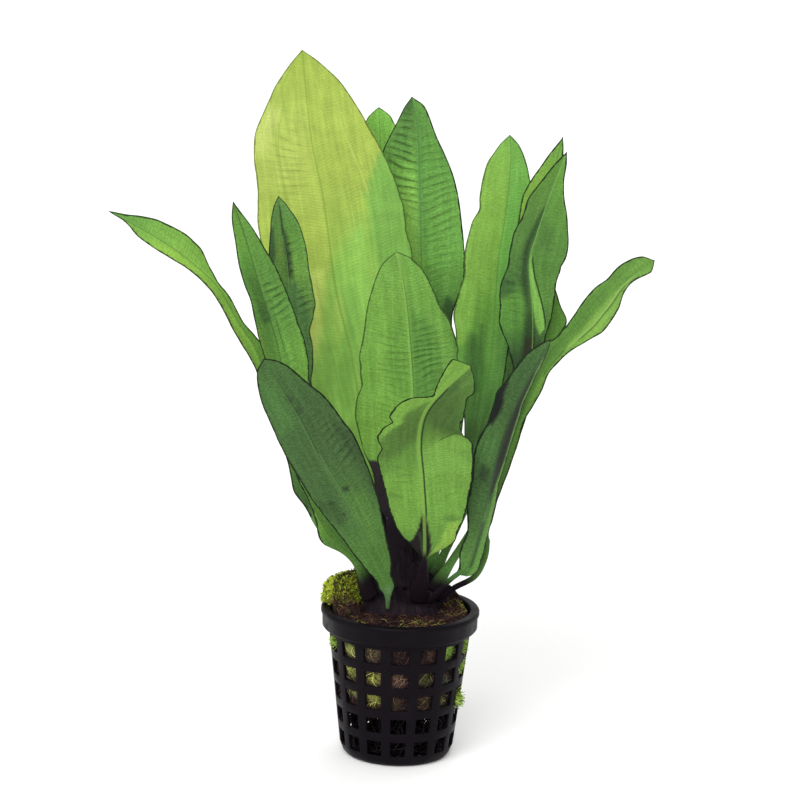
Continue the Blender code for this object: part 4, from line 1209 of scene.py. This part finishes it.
class Look:
    """A material's node tree, written as nested calls."""

    def __init__(self, name, roughness, specular):
        self.material = bpy.data.materials.new(name)
        self.material.use_nodes = True
        self.tree = self.material.node_tree
        self.shader = self.tree.nodes["Principled BSDF"]
        self.shader.inputs["Roughness"].default_value = roughness
        self.shader.inputs["Specular IOR Level"].default_value = specular

    def plug(self, socket, value):
        if isinstance(value, bpy.types.NodeSocket):
            self.tree.links.new(value, socket)
        else:
            socket.default_value = value

    def node(self, kind, **settings):
        node = self.tree.nodes.new(kind)
        for key, value in settings.items():
            setattr(node, key, value)
        return node

    def value(self, name):
        """A number that the mesh holds for each point."""
        return self.node("ShaderNodeAttribute", attribute_name=name).outputs["Fac"]

    def paint(self):
        """The colour that the mesh holds for each point."""
        return self.node("ShaderNodeAttribute", attribute_name="paint").outputs["Color"]

    def math(self, operation, *values):
        node = self.node("ShaderNodeMath", operation=operation)
        for socket, value in zip(node.inputs, values):
            self.plug(socket, value)
        return node.outputs[0]

    def times(self, a, b):
        return self.math("MULTIPLY", a, b)

    def span(self, value, low, high, to_low=0.0, to_high=1.0):
        """Ease a value from low..high to to_low..to_high."""
        node = self.node("ShaderNodeMapRange", interpolation_type="SMOOTHSTEP")
        for socket, number in zip(node.inputs, (value, low, high, to_low, to_high)):
            self.plug(socket, number)
        return node.outputs[0]

    def mix(self, share, a, b):
        """Blend two colours, with a share of the second."""
        node = self.node("ShaderNodeMix", data_type="RGBA")
        self.plug(node.inputs["Factor"], share)
        for name, colour in (("A", a), ("B", b)):
            self.plug([s for s in node.inputs if s.name == name and s.type == "RGBA"][0], colour)
        return [s for s in node.outputs if s.type == "RGBA"][0]

    def shade(self, colour, factor):
        """Multiply a colour by a number."""
        node = self.node("ShaderNodeVectorMath", operation="SCALE")
        self.plug(node.inputs[0], colour)
        self.plug(node.inputs["Scale"], factor)
        return node.outputs[0]

    def vary(self, colour, value, low, high, start, end):
        """Multiply a colour by a number that eases from start to end while a value goes low..high."""
        return self.shade(colour, self.span(value, low, high, start, end))

    def place(self, kind="UV", scale=(1.0, 1.0, 1.0)):
        mapping = self.node("ShaderNodeMapping")
        self.plug(mapping.inputs["Vector"], self.node("ShaderNodeTexCoord").outputs[kind])
        mapping.inputs["Scale"].default_value = scale
        return mapping.outputs[0]

    def noise(self, vector, size, detail, roughness=0.5):
        """Cloudy noise from 0 to 1, with lumps of a size in the vector's own units."""
        node = self.node("ShaderNodeTexNoise")
        self.plug(node.inputs["Vector"], vector)
        node.inputs["Scale"].default_value = 1.0 / size
        node.inputs["Detail"].default_value = detail
        node.inputs["Roughness"].default_value = roughness
        return node.outputs["Fac"]

    def finish(self, colour, height=None, distance=0.1, strength=1.0, roughness=None):
        """Plug in the colour, a bump of a depth in millimetres, and an uneven roughness."""
        self.plug(self.shader.inputs["Base Color"], colour)
        if height is not None:
            bump = self.node("ShaderNodeBump")
            bump.inputs["Distance"].default_value = distance * MM
            bump.inputs["Strength"].default_value = strength
            self.plug(bump.inputs["Height"], height)
            self.plug(self.shader.inputs["Normal"], bump.outputs[0])
        if roughness is not None:
            self.plug(self.shader.inputs["Roughness"], roughness)
        return self.material


def leaf_ground(look, grain_strength, streak, mottle):
    """The painted ground with streaks along the leaf, mottling and grain."""
    colour = look.vary(look.paint(), streak, 0.3, 0.7, 1.08, 0.9)
    colour = look.vary(colour, mottle, 0.3, 0.7, 0.92, 1.09)
    grain = look.noise(look.place("UV", (1.0, 1.6, 1.0)), 1.1, 3.0, 0.65)
    low, high = 1 - 0.14 * grain_strength, 1 + 0.13 * grain_strength
    return look.vary(colour, grain, 0.32, 0.68, low, high)


def add_ripple_shading(look, colour):
    """Painted shade and painted highlight bands over the cross ripples, following their relief, broken up by
    noise.
    """
    wave = look.math("SINE", look.times(look.value("phase"), 2 * math.pi))
    broken = look.span(look.noise(look.place("UV", (0.35, 1.0, 1.0)), 2.4, 2.0), 0.3, 0.52)
    strength = look.times(look.value("ripple"), broken)
    for low, high, factor in RIPPLE_SHADE_AND_LIGHT:
        band = look.times(look.span(wave, low, high), strength)
        colour = look.vary(colour, band, 0.0, 1.0, 1.0, factor)
    return colour


def add_long_veins(look, colour, out):
    """Light lines along the blade, at set shares of its half width."""
    width = look.value("width_mm")
    for share in LONG_VEINS:
        away = look.math("ABSOLUTE", look.math("SUBTRACT", out, look.times(width, share)))
        vein = look.times(look.span(away, 0.3, 0.05), look.span(width, 3.0, 6.0))
        colour = look.vary(colour, vein, 0.0, 1.0, 1.0, 1.1)
    return colour


def add_lines(look, leaf, colour, out):
    """The midrib and the drawn lines."""
    shade, width, amount = leaf["rib"]
    mask = look.times(look.span(out, width, width * 0.4, 0.0, amount), look.value("blade"))
    colour = look.mix(mask, colour, linear(shade))
    for letter, (shade, width, _, _) in zip("ab", leaf["lines"]):
        away = look.math("ABSOLUTE", look.value("line_" + letter))
        line = look.span(away, width * 1.4, width * 0.5)
        mask = look.times(line, look.value("line_" + letter + "_on"))
        colour = look.mix(mask, colour, linear(shade))
    return colour


def leaf_material(name, leaf):
    look = Look(name, 0.55, 0.07)
    place = look.place("UV")
    split = look.node("ShaderNodeSeparateXYZ")
    look.plug(split.inputs[0], look.node("ShaderNodeTexCoord").outputs["UV"])
    out = look.math("ABSOLUTE", split.outputs[0])
    streak = look.noise(look.place("UV", (1.0, 0.05, 1.0)), 1.5, 3.0)
    mottle = look.noise(place, 7.0, 4.0, 0.6)
    colour = leaf_ground(look, leaf["grain"], streak, mottle)
    colour = add_ripple_shading(look, colour)
    # fine cross veins
    fine = look.math("SUBTRACT", split.outputs[1], look.times(out, FINE_VEIN_SLOPE))
    fine = look.math("ADD", fine, look.times(look.noise(place, 4.0, 2.0), 2.0))
    fine = look.math("SINE", look.times(fine, 2 * math.pi / FINE_VEIN_PITCH))
    faint = look.times(look.span(fine, 0.0, 1.0), look.span(mottle, 0.3, 0.6))
    colour = look.vary(colour, faint, 0.0, 1.0, 1.0, 1 - 0.08 * leaf["grain"])
    colour = add_long_veins(look, colour, out)
    colour = add_lines(look, leaf, colour, out)
    # painted shadow of the crown over the petiole's foot, in the crown's near-black colour
    foot = look.math("ADD", look.value("foot_mm"), look.times(streak, 4.0))
    colour = look.mix(look.span(foot, *leaf["shadowed_foot"]), colour, linear(CROWN_SHADOW_COLOUR))
    # the dark line along the margin
    uneven = look.span(look.noise(place, 2.0, 2.0), 0.3, 0.7, -0.12, 0.2)
    mask = look.span(look.math("ADD", look.value("rim_mm"), uneven), *MARGIN_LINE, 0.0, leaf["margin"])
    colour = look.mix(mask, colour, linear(MARGIN_COLOUR))
    # the gain is painted light: it brightens leaves that their neighbours shade and darkens the front ones
    colour = look.shade(colour, leaf["painted_light_gain"] / LIGHT_GAIN)
    height = look.math("ADD", look.times(fine, 0.5), look.noise(place, 0.8, 2.0))
    return look.finish(colour, height, 0.1, 0.5, look.span(mottle, 0.3, 0.7, 0.44, 0.6))


def plastic_material():
    look = Look("pot_plastic", 0.45, 0.04)
    place = look.place("Object", PER_MM)
    film = look.noise(place, 7.0, 4.0)
    grain = look.noise(place, 0.5, 2.0)
    colour = look.mix(look.span(film, 0.45, 0.8, 0.0, 0.6), linear((15, 11, 16)), linear((22, 18, 23)))
    return look.finish(colour, grain, 0.03, 0.5, look.span(film, 0.3, 0.7, 0.3, 0.52))


def wool_material():
    look = Look("wool", 0.95, 0.1)
    place = look.place("Object", PER_MM)
    lumps = look.noise(place, 5.0, 4.0, 0.6)
    fine = look.noise(place, 0.7, 3.0, 0.7)
    colour = look.vary(look.paint(), lumps, 0.35, 0.65, 0.55, 1.1)
    colour = look.vary(colour, fine, 0.35, 0.7, 1.25, 0.35)
    return look.finish(colour, fine, 0.5, 1.0)


def strand_material(name):
    look = Look(name, 0.8, 0.1)
    shade = look.noise(look.place("Object", PER_MM), 1.2, 3.0, 0.6)
    colour = look.vary(look.paint(), shade, 0.3, 0.7, 0.7, 1.2)
    return look.finish(colour, shade, 0.1, 0.6)


def crown_shade_material(name):
    """Near-black skin, streaked upwards, with a few olive spots; its darkness is partly the crown's own and
    partly painted shade of the crowded crown.
    """
    look = Look(name, 0.75, 0.12)
    streak = look.noise(look.place("Object", (1000.0, 1000.0, 250.0)), 1.4, 4.0, 0.6)
    spots = look.noise(look.place("Object", PER_MM), 5.0, 3.0)
    colour = look.mix(look.span(streak, 0.4, 0.7), linear((19, 13, 19)), linear((38, 27, 32)))
    colour = look.mix(look.span(spots, 0.62, 0.78, 0.0, 0.4), colour, linear((40, 46, 32)))
    return look.finish(colour, streak, 0.4, 0.8)


def floor_material():
    look = Look("pale_floor", 0.9, 0.1)
    shade = look.noise(look.place("Object"), 0.4, 2.0)
    return look.finish(look.mix(shade, linear((250, 250, 249)), linear((252, 252, 251))))


# Pot


def wall_radius(height):
    return WALL_FOOT_RADIUS + WALL_FLARE * height


def spoke_angles():
    """Angles round the pot, column by column, with a mark for those that start inside an opening."""
    angles = []
    pitch = 2 * math.pi / COLUMNS
    for column in range(COLUMNS):
        start = -math.pi / 2 + COLUMN_OFFSET + pitch * column - OPENING_ANGLE / 2
        for step in range(OPENING_STEPS):
            angles.append((start + OPENING_ANGLE * step / OPENING_STEPS, True))
        for step in range(SPOKE_STEPS):
            gap = pitch - OPENING_ANGLE
            angles.append((start + OPENING_ANGLE + gap * step / SPOKE_STEPS, False))
    return angles


def pot_levels():
    """Matching points on the pot's outside and inside, with a mark where openings start."""
    floor = FLOOR_THICKNESS
    levels = [
        ((FLOOR_SLOT[0], 0.0), (FLOOR_SLOT[0], floor), True),
        ((FLOOR_SLOT[1], 0.0), (FLOOR_SLOT[1], floor), False),
        ((FOOT_RADIUS, 0.0), (FOOT_RADIUS, floor), False),
        ((FOOT_RADIUS + 1.3, 0.3), (FOOT_RADIUS + 1.0, floor + 0.2), False),
        ((FOOT_RADIUS + 2.1, 1.2), (FOOT_RADIUS + 1.6, floor + 0.8), False),
    ]
    for row in range(ROWS):
        middle = FIRST_ROW_MIDDLE + ROW_PITCH * row
        for height, opening in ((middle - OPENING_HEIGHT / 2, True), (middle + OPENING_HEIGHT / 2, False)):
            outer = wall_radius(height)
            levels.append(((outer, height), (outer - WALL_THICKNESS, height), opening))
    band_foot = POT_HEIGHT - RIM_BAND_HEIGHT
    bead_foot = POT_HEIGHT - RIM_BEAD_HEIGHT
    mouth = RIM_MOUTH_RADIUS
    inside = wall_radius(band_foot) - WALL_THICKNESS
    levels += [
        ((inside + WALL_THICKNESS, band_foot), (inside, band_foot), False),
        ((RIM_BAND_RADIUS - 0.4, band_foot + 0.1), (inside + 0.05, band_foot + 0.6), False),
        ((RIM_BAND_RADIUS, band_foot + 0.6), (inside + 0.1, band_foot + 1.2), False),
        ((RIM_BAND_RADIUS + 0.1, bead_foot), (mouth - 0.4, bead_foot), False),
        ((RIM_RADIUS, bead_foot + 0.5), (mouth - 0.2, bead_foot + 0.6), False),
        ((RIM_RADIUS, POT_HEIGHT - 0.6), (mouth, POT_HEIGHT - 0.4), False),
        ((RIM_RADIUS - 0.25, POT_HEIGHT - 0.15), (mouth + 0.2, POT_HEIGHT - 0.1), False),
        ((RIM_RADIUS - 0.7, POT_HEIGHT), (mouth + 0.6, POT_HEIGHT), False),
    ]
    return levels


def make_net_pot():
    spokes = spoke_angles()
    levels = pot_levels()
    count = len(spokes)
    points = []
    for outer, inner, _ in levels:
        for radius, height in (outer, inner):
            points += [on_circle(radius, a, height) for a, _ in spokes]

    def outside(i, j):
        return 2 * i * count + j % count

    def inside(i, j):
        return (2 * i + 1) * count + j % count

    def is_open(i, j):
        return levels[i][2] and spokes[j % count][1]

    faces = []
    for i in range(len(levels) - 1):
        for j in range(count):
            if not is_open(i, j):
                faces.append((outside(i, j), outside(i, j + 1), outside(i + 1, j + 1), outside(i + 1, j)))
                faces.append((inside(i, j), inside(i + 1, j), inside(i + 1, j + 1), inside(i, j + 1)))
                continue
            faces.append((outside(i, j), outside(i, j + 1), inside(i, j + 1), inside(i, j)))
            faces.append((outside(i + 1, j), inside(i + 1, j), inside(i + 1, j + 1), outside(i + 1, j + 1)))
            if not is_open(i, j - 1):
                faces.append((outside(i, j), inside(i, j), inside(i + 1, j), outside(i + 1, j)))
            if not is_open(i, j + 1):
                side = (outside(i, j + 1), outside(i + 1, j + 1), inside(i + 1, j + 1), inside(i, j + 1))
                faces.append(side)
    top = len(levels) - 1
    for j in range(count):
        faces.append((outside(top, j), outside(top, j + 1), inside(top, j + 1), inside(top, j)))
    for ring, height in ((outside, 0.0), (inside, FLOOR_THICKNESS)):
        points.append((0.0, 0.0, height))
        centre = len(points) - 1
        for j in range(count):
            corners = (ring(0, j), ring(0, j + 1), centre)
            faces.append(corners[::-1] if ring is outside else corners)
    pot = make_piece("pot_shell", points, faces, plastic_material(), ["net_pot"])
    bevel = pot.modifiers.new("edges", "BEVEL")
    bevel.width = POT_EDGE_ROUND * MM
    bevel.segments = 2
    bevel.limit_method = "ANGLE"
    bevel.angle_limit = math.radians(50)
    return pot


# Wool, moss and roots


def around(angle, middle, full, fade):
    """From 1 within an angle of a middle to 0 past a fade beyond it, in radians."""
    away = abs((angle - middle + math.pi) % (2 * math.pi) - math.pi)
    return float(ease((full + fade - away) / fade))


def near(angle, height, middle, level, half_angle, half_height):
    """How far inside a soft patch of the plug's side a place is, from 0 to 1."""
    away = (angle - middle + 180) % 360 - 180
    return ease(1.5 * (1 - np.hypot(away / half_angle, (height - level) / half_height)))


def plug_paint(points):
    """Display colours of the wool: brown, with green patches and the mossy corner."""
    x, y, height = points.T
    angle = np.degrees(np.arctan2(y, x))
    colour = blend_to(np.array(PLUG_COLOUR), PLUG_TOP_COLOUR, ease((height - 46.0) / 3.0))
    for middle, level, half_angle, half_height, shade, amount in PLUG_PATCHES:
        colour = blend_to(colour, shade, amount * near(angle, height, middle, level, half_angle, half_height))
    moss = np.array([around(math.radians(a), MOSS_ANGLE, MOSS_SPREAD, 0.25) for a in angle])
    moss *= ease((height - 51.3) / 1.6) * ease((np.hypot(x, y) - 13.0) / 3.0)
    return blend_to(colour, MOSS_COLOUR, moss)


def plug_rings(angles):
    """The plug's rings from foot to top, each (radius, height) by (radius, height)."""
    inside = WALL_THICKNESS + PLUG_GAP
    brim = POT_HEIGHT + 0.35
    mouth = RIM_MOUTH_RADIUS - 0.4 - PLUG_GAP
    corner = []
    for a in angles:
        up = around(a, MOSS_ANGLE, MOSS_SPREAD + 0.45, 0.05)
        out = around(a, MOSS_ANGLE, MOSS_SPREAD, 0.18)
        corner.append((up, mouth + (MOSS_RADIUS - mouth) * out, MOSS_RISE * out))
    back = [BACK_RISE * around(a, BACK_ANGLE, 0.2, 0.5) for a in angles]

    level = [(wall_radius(PLUG_FOOT) * share, PLUG_FOOT) for share in (0.02, 0.4, 0.7, 0.9)]
    walls = np.linspace(PLUG_FOOT + 0.5, PLUG_SHOULDER, PLUG_WALL_RINGS)
    level += [(wall_radius(height) - inside, height) for height in walls]
    level += [(mouth, height) for height in PLUG_NECK]
    rings = [[pair] * PLUG_STEPS for pair in level]
    low, high = PLUG_LIP
    rings.append([(mouth, low + (brim - low) * up) for up, _, _ in corner])
    rings.append([(reach, high + (brim + 0.1 - high) * up) for up, reach, _ in corner])
    for share, lift in PLUG_PROFILE:
        ring = []
        for (up, reach, rise), more in zip(corner, back):
            edge = max(PLUG_EDGE + 0.5, (brim + 0.6) * up)
            ring.append((reach * share, edge + lift * (rise + more)))
        rings.append(ring)
    for share in (1.0, 0.85, 0.7, 0.5, 0.25):
        rings.append([(PLUG_MIDDLE_RADIUS * share, PLUG_TOP)] * PLUG_STEPS)
    return rings


def make_wool():
    angles = [2 * math.pi * i / PLUG_STEPS for i in range(PLUG_STEPS)]
    rings = plug_rings(angles)
    points = []
    for ring in rings:
        points += [on_circle(radius, a, height) for (radius, height), a in zip(ring, angles)]
    points = np.array(points)
    shades = plug_paint(points)
    lumps = 0.4 * rough(points, 3.4, 1) + 0.3 * rough(points, 1.3, 2)
    outward = np.stack([np.cos(np.tile(angles, len(rings))), np.sin(np.tile(angles, len(rings)))], axis=1)
    top = points[:, 2] > 49.0
    points[:, :2] += outward * np.where(top, 0.5, 1.0)[:, None] * lumps[:, None]
    points[:, 2] += np.where(top, 1.9 * lumps, 0.0)
    faces = capped_faces(len(rings), PLUG_STEPS)
    return make_piece("wool_plug", points, faces, wool_material(), ["rockwool"], paint=shades)


def make_strands(name, strands, sides=3):
    """One piece of many thin closed tubes, each (path, first radius, last radius, colour)."""
    turn = 2 * math.pi * np.arange(sides) / sides
    points, faces, shades = [], [], []
    first = 0
    for path, first_radius, last_radius, shade in strands:
        path = np.array([tuple(p) for p in path])
        rows = len(path)
        direction = unit(np.gradient(path, axis=0) + 1e-6)
        level = abs(direction[:, 2].mean()) < 0.75
        helper = np.array((0.05, 0.03, 1.0) if level else (1.0, 0.05, 0.03))
        across = unit(np.cross(direction, helper))
        up = np.cross(direction, across)
        radius = np.linspace(first_radius, last_radius, rows)[:, None, None]
        ring = across[:, None, :] * np.cos(turn)[None, :, None] + up[:, None, :] * np.sin(turn)[None, :, None]
        points.append((path[:, None, :] + radius * ring).reshape(-1, 3))
        faces += capped_faces(rows, sides, first)
        shades.append(np.repeat([shade], rows * sides, axis=0))
        first += rows * sides
    points, shades = np.concatenate(points), np.concatenate(shades)
    return make_piece(name, points, faces, strand_material(name), None, paint=shades)


def scatter(piece, count, draw, wanted):
    """Places and normals spread evenly over those of a piece's faces that are wanted."""
    mesh = piece.data
    faces = [face for face in mesh.polygons if wanted(face.center / MM)]
    for face in draw.choices(faces, [face.area for face in faces], k=count):
        shares = [draw.random() + 0.01 for _ in face.vertices]
        place = Vector((0, 0, 0))
        for share, corner in zip(shares, face.vertices):
            place += mesh.vertices[corner].co * (share / sum(shares))
        yield place / MM, face.normal.copy()


def in_moss(place):
    away = around(math.atan2(place.y, place.x), MOSS_ANGLE, MOSS_SPREAD, 0.2)
    return away > 0.4 and place.z > 51.8 and math.hypot(place.x, place.y) > 14.5


def on_top(place):
    return place.z > 49.2 and not in_moss(place)


def make_top_fibres(wool):
    """Short curled fibres that lie on the plug's top."""
    draw = random.Random(11)
    mesh = wool.data
    surface = BVHTree.FromPolygons([v.co for v in mesh.vertices], [f.vertices for f in mesh.polygons])
    limit = RIM_MOUTH_RADIUS - 1.2
    strands = []
    for place, _ in scatter(wool, TOP_FIBRES, draw, on_top):
        x, y = place.x, place.y
        heading = draw.uniform(0, 2 * math.pi)
        bend = draw.gauss(0, 0.5)
        lift = draw.uniform(0.1, 1.0)
        step = draw.uniform(0.35, 0.75)
        path = []
        for k in range(FIBRE_STEPS):
            reach = math.hypot(x, y)
            if reach > limit:
                x, y = x * limit / reach, y * limit / reach
            hit = surface.ray_cast(Vector((x, y, 90)) * MM, Vector((0, 0, -1)))[0]
            height = hit.z / MM if hit else PLUG_TOP
            path.append((x, y, height + lift * math.sin(math.pi * k / (FIBRE_STEPS - 1))))
            heading += bend + draw.uniform(-0.3, 0.3)
            x += step * math.cos(heading)
            y += step * math.sin(heading)
        olive = any(math.hypot(place.x - at_x, place.y - at_y) < radius for at_x, at_y, radius in OLIVE_SPOTS)
        shade = draw.choices(FIBRE_SHADES, OLIVE_SHARES if olive else DULL_SHARES)[0]
        strands.append((path, *TOP_FIBRE_RADII, shade))
    return make_strands("wool_fibres", strands)


def make_side_fibres():
    """Fibres that curl over the plug's side, in lighter and darker tones of what is under them."""
    draw = random.Random(12)
    strands = []
    for _ in range(SIDE_FIBRES):
        angle = draw.uniform(0, 2 * math.pi)
        height = draw.uniform(PLUG_FOOT + 0.5, 44.0)
        heading = draw.uniform(0, 2 * math.pi)
        bend = draw.gauss(0, 0.35)
        stand = draw.uniform(0.1, 0.7)
        path = []
        for k in range(FIBRE_STEPS):
            lift = stand * math.sin(math.pi * k / (FIBRE_STEPS - 1))
            radius = wall_radius(height) - WALL_THICKNESS - PLUG_GAP + lift
            path.append(on_circle(radius, angle, height))
            heading += bend
            angle += SIDE_FIBRE_STEP * math.cos(heading) / radius
            height = min(max(height + SIDE_FIBRE_STEP * math.sin(heading), PLUG_FOOT), 44.4)
        ground = plug_paint(np.array(path[3:4]))[0]
        shade = ground * draw.choice(SIDE_FIBRE_TONES)
        strands.append((path, *SIDE_FIBRE_RADII, np.clip(shade, 0, 220)))
    return make_strands("side_fibres", strands)


def make_moss(wool):
    """Blades of moss on the plug's raised corner, browner towards the plug's middle."""
    draw = random.Random(13)
    strands = []
    for place, normal in scatter(wool, MOSS_BLADES, draw, in_moss):
        lean = Vector((draw.gauss(0, 0.6), draw.gauss(0, 0.6), draw.gauss(0.2, 0.5)))
        way = (normal + lean).normalized()
        length = draw.uniform(0.5, 1.5)
        droop = Vector((0, 0, -draw.uniform(0.0, 0.5)))
        path = [place + way * (length * t - 0.2) + droop * (t * t) for t in (0, 0.33, 0.67, 1.0)]
        inner = place.x > -23.0 + 3.0 * draw.random()
        shade = draw.choices(MOSS_SHADES, MOSS_INNER_SHARES if inner else MOSS_SHARES)[0]
        strands.append((path, *MOSS_RADII, shade))
    return make_strands("moss_blades", strands, 4)


def make_tufts():
    """Tufts of moss that push out through openings in the pot."""
    draw = random.Random(14)
    strands = []
    for angle, height, spread, reach, count in TUFTS:
        middle = math.radians(angle)
        out = Vector((math.cos(middle), math.sin(middle), 0))
        aside = Vector((-math.sin(middle), math.cos(middle), 0))
        inside = wall_radius(height) - WALL_THICKNESS - 0.7
        for _ in range(count):
            sideways = draw.gauss(0, 0.45) * spread
            level = draw.gauss(0, 0.5) * spread
            start = out * inside + aside * sideways + Vector((0, 0, height + level))
            length = reach * draw.uniform(0.35, 1.0) + 0.7
            lean = aside * draw.gauss(0, 0.35) + Vector((0, 0, draw.gauss(-0.05, 0.4)))
            way = (out + lean).normalized()
            curl = Vector((draw.gauss(0, 0.3), draw.gauss(0, 0.3), draw.gauss(0, 0.4)))
            path = [start + way * (length * t) + curl * (t * t) for t in (0, 0.25, 0.5, 0.75, 1.0)]
            strands.append((path, *TUFT_RADII, draw.choice(TUFT_SHADES)))
    return make_strands("moss_tufts", strands, 4)


def make_roots():
    """Dark roots that hang below the wool and coil on the pot's floor."""
    draw = random.Random(15)
    strands = []
    for _ in range(HANGING_ROOTS):
        angle = draw.uniform(0, 2 * math.pi)
        radius = ROOT_BALL_RADIUS * math.sqrt(draw.uniform(0.02, 1.0))
        foot = draw.uniform(1.9, 7.0)
        swirl = draw.gauss(0, 0.5)
        wobble = draw.uniform(0.3, 1.6)
        phase = draw.uniform(0, 6.3)
        path = []
        for t in np.linspace(0.0, 1.0, 14):
            height = PLUG_FOOT + 0.8 + (foot - PLUG_FOOT - 0.8) * t
            a = angle + swirl * t + 0.06 * math.sin(phase + 9 * t)
            limit = wall_radius(height) - 1.7 if height > 3.5 else FOOT_RADIUS
            r = min(radius + 2.0 * t + wobble * math.sin(phase + 7 * t), limit)
            path.append(on_circle(r, a, height))
        thick = draw.uniform(0.3, 0.6)
        strands.append((path, thick, 0.22, draw.choices(ROOT_SHADES, ROOT_SHARES)[0]))
    for _ in range(LYING_ROOTS):
        angle = draw.uniform(0, 2 * math.pi)
        radius = draw.uniform(7.0, 16.2)
        height = draw.uniform(1.8, 9.0)
        turn = draw.choice((-1, 1)) * draw.uniform(0.9, 2.4)
        phase = draw.uniform(0, 6.3)
        path = []
        for t in np.linspace(0.0, 1.0, 16):
            a = angle + turn * t
            r = radius + 1.2 * math.sin(phase + 5 * t)
            lift = 0.9 * math.sin(phase + 8 * t) * (height > 3)
            path.append(on_circle(r, a, height + lift))
        strands.append((path, draw.uniform(0.3, 0.55), 0.25, draw.choices(ROOT_SHADES, ROOT_SHARES)[0]))
    return make_strands("hanging_roots", strands, 5)


# Crown


def make_crown():
    points = []
    for i in range(CROWN_RINGS):
        t = i / (CROWN_RINGS - 1)
        share = math.cos(t * math.pi / 2) ** 0.6 if t < 1 else 0.001
        rise = math.sin(t * math.pi / 2) ** 1.4
        for j in range(CROWN_STEPS):
            a = 2 * math.pi * j / CROWN_STEPS
            x = CROWN_MIDDLE[0] + CROWN_RADII[0] * share * math.cos(a)
            y = CROWN_MIDDLE[1] + CROWN_RADII[1] * share * math.sin(a)
            points.append((x, y, CROWN_FOOT - CROWN_SUNK + (CROWN_HEIGHT + CROWN_SUNK) * rise))
    points = np.array(points)
    lumps = rough(points, 3.0, 3) + 0.5 * rough(points, 1.2, 4)
    points[:, :2] *= 1 + 0.03 * lumps[:, None]
    points[:, 2] += 0.35 * lumps * ease((points[:, 2] - CROWN_FOOT) / 2.0)
    faces = capped_faces(CROWN_RINGS, CROWN_STEPS)
    return make_piece("crown_base", points, faces, crown_shade_material("shaded_crown_skin"), ["crown"])


def make_sheaths():
    """Dark sheaths between the petioles, standing on the crown: partly the plant's sheathing bases, partly
    dark sheets painting the shade among them.
    """
    half = np.linspace(-1.0, 1.0, 9)
    ring = 2 * len(half)
    t = np.linspace(0.0, 1.0, SHEATH_ROWS)
    points, faces = [], []
    for number, (x, y, tip_x, tip_y, tip_z, half_width) in enumerate(SHEATHS):
        foot = (x, y, CROWN_FOOT + 0.6)
        knee = (x + 0.3 * (tip_x - x), y + 0.3 * (tip_y - y), CROWN_FOOT + 0.5 * (tip_z - CROWN_FOOT))
        line, _ = smooth_line((foot, knee, (tip_x, tip_y, tip_z)), SHEATH_ROWS)
        direction = unit(np.gradient(line, axis=0))
        face = towards_viewer(direction)
        side = np.cross(direction, face)
        width = half_width * (0.75 + 0.5 * t) * np.sqrt(np.maximum(1 - t ** 3, 0.004))
        wave = 0.35 * np.sin(5 * half[None, :] + 3 * number) * t[:, None]
        bow = -0.3 * width[:, None] * half[None, :] ** 2 + wave
        middle = line[:, None, :] + side[:, None, :] * (width[:, None] * half[None, :])[:, :, None]
        middle += face[:, None, :] * bow[:, :, None]
        thick = face[:, None, :] * (0.3 - 0.18 * t)[:, None, None]
        points.append(sheet_points(middle, thick))
        faces += capped_faces(SHEATH_ROWS, ring, number * SHEATH_ROWS * ring)
    points = np.concatenate(points)
    return make_piece("crown_sheaths", points, faces, crown_shade_material("shaded_sheath"), None)


# Stage


def area_light(name, place, aim, size, power):
    """A round soft lamp at a place, which points at an aim."""
    lamp = bpy.data.lights.new(name, "AREA")
    lamp.shape = "DISK"
    lamp.size = size
    lamp.energy = power
    light = bpy.data.objects.new(name, lamp)
    light.location = place
    light.rotation_euler = (Vector(aim) - Vector(place)).to_track_quat("-Z", "Y").to_euler()
    bpy.context.scene.collection.objects.link(light)


def sky_light(name, toward, strength, softness):
    """A far soft light, shining from one direction over everything alike."""
    lamp = bpy.data.lights.new(name, "SUN")
    lamp.energy = strength
    lamp.angle = math.radians(softness)
    light = bpy.data.objects.new(name, lamp)
    light.rotation_euler = Vector(toward).to_track_quat("Z", "Y").to_euler()
    bpy.context.scene.collection.objects.link(light)


def make_stage():
    mesh = bpy.data.meshes.new("floor")
    mesh.from_pydata(FLOOR_CORNERS, [], [(0, 1, 2, 3)])
    mesh.materials.append(floor_material())
    floor = bpy.data.objects.new("floor", mesh)
    floor.location = (0, 0, -FLOOR_DROP)
    bpy.context.scene.collection.objects.link(floor)
    world = bpy.data.worlds.new("studio")
    bpy.context.scene.world = world
    world.use_nodes = True
    background = world.node_tree.nodes["Background"]
    background.inputs["Color"].default_value = (1.0, 1.0, 1.0, 1.0)
    background.inputs["Strength"].default_value = SKY_STRENGTH
    sky_light("front", *FRONT_LIGHT)
    sky_light("back", *BACK_LIGHT)
    area_light("key", *KEY_LIGHT)


def make_camera():
    data = bpy.data.cameras.new("camera")
    data.sensor_width = CAMERA_SENSOR
    data.lens = CAMERA_LENS
    camera = bpy.data.objects.new("camera", data)
    camera.location = CAMERA_PLACE
    down = Matrix.Rotation(math.radians(90 - CAMERA_DOWN), 3, "X")
    lean = Matrix.Rotation(math.radians(CAMERA_LEAN), 3, "Z")
    camera.rotation_euler = (down @ lean).to_euler()
    bpy.context.scene.collection.objects.link(camera)
    bpy.context.scene.camera = camera


def main():
    bpy.context.scene.view_settings.view_transform = "Standard"
    make_camera()
    make_stage()
    make_net_pot()
    wool = make_wool()
    make_top_fibres(wool)
    make_side_fibres()
    make_moss(wool)
    make_tufts()
    make_roots()
    make_crown()
    make_sheaths()
    for slot, names in SLOTS.items():
        for name in names:
            make_leaf(name, {**USUAL, **LEAVES[name]})


main()
bpy.context.view_layer.update()
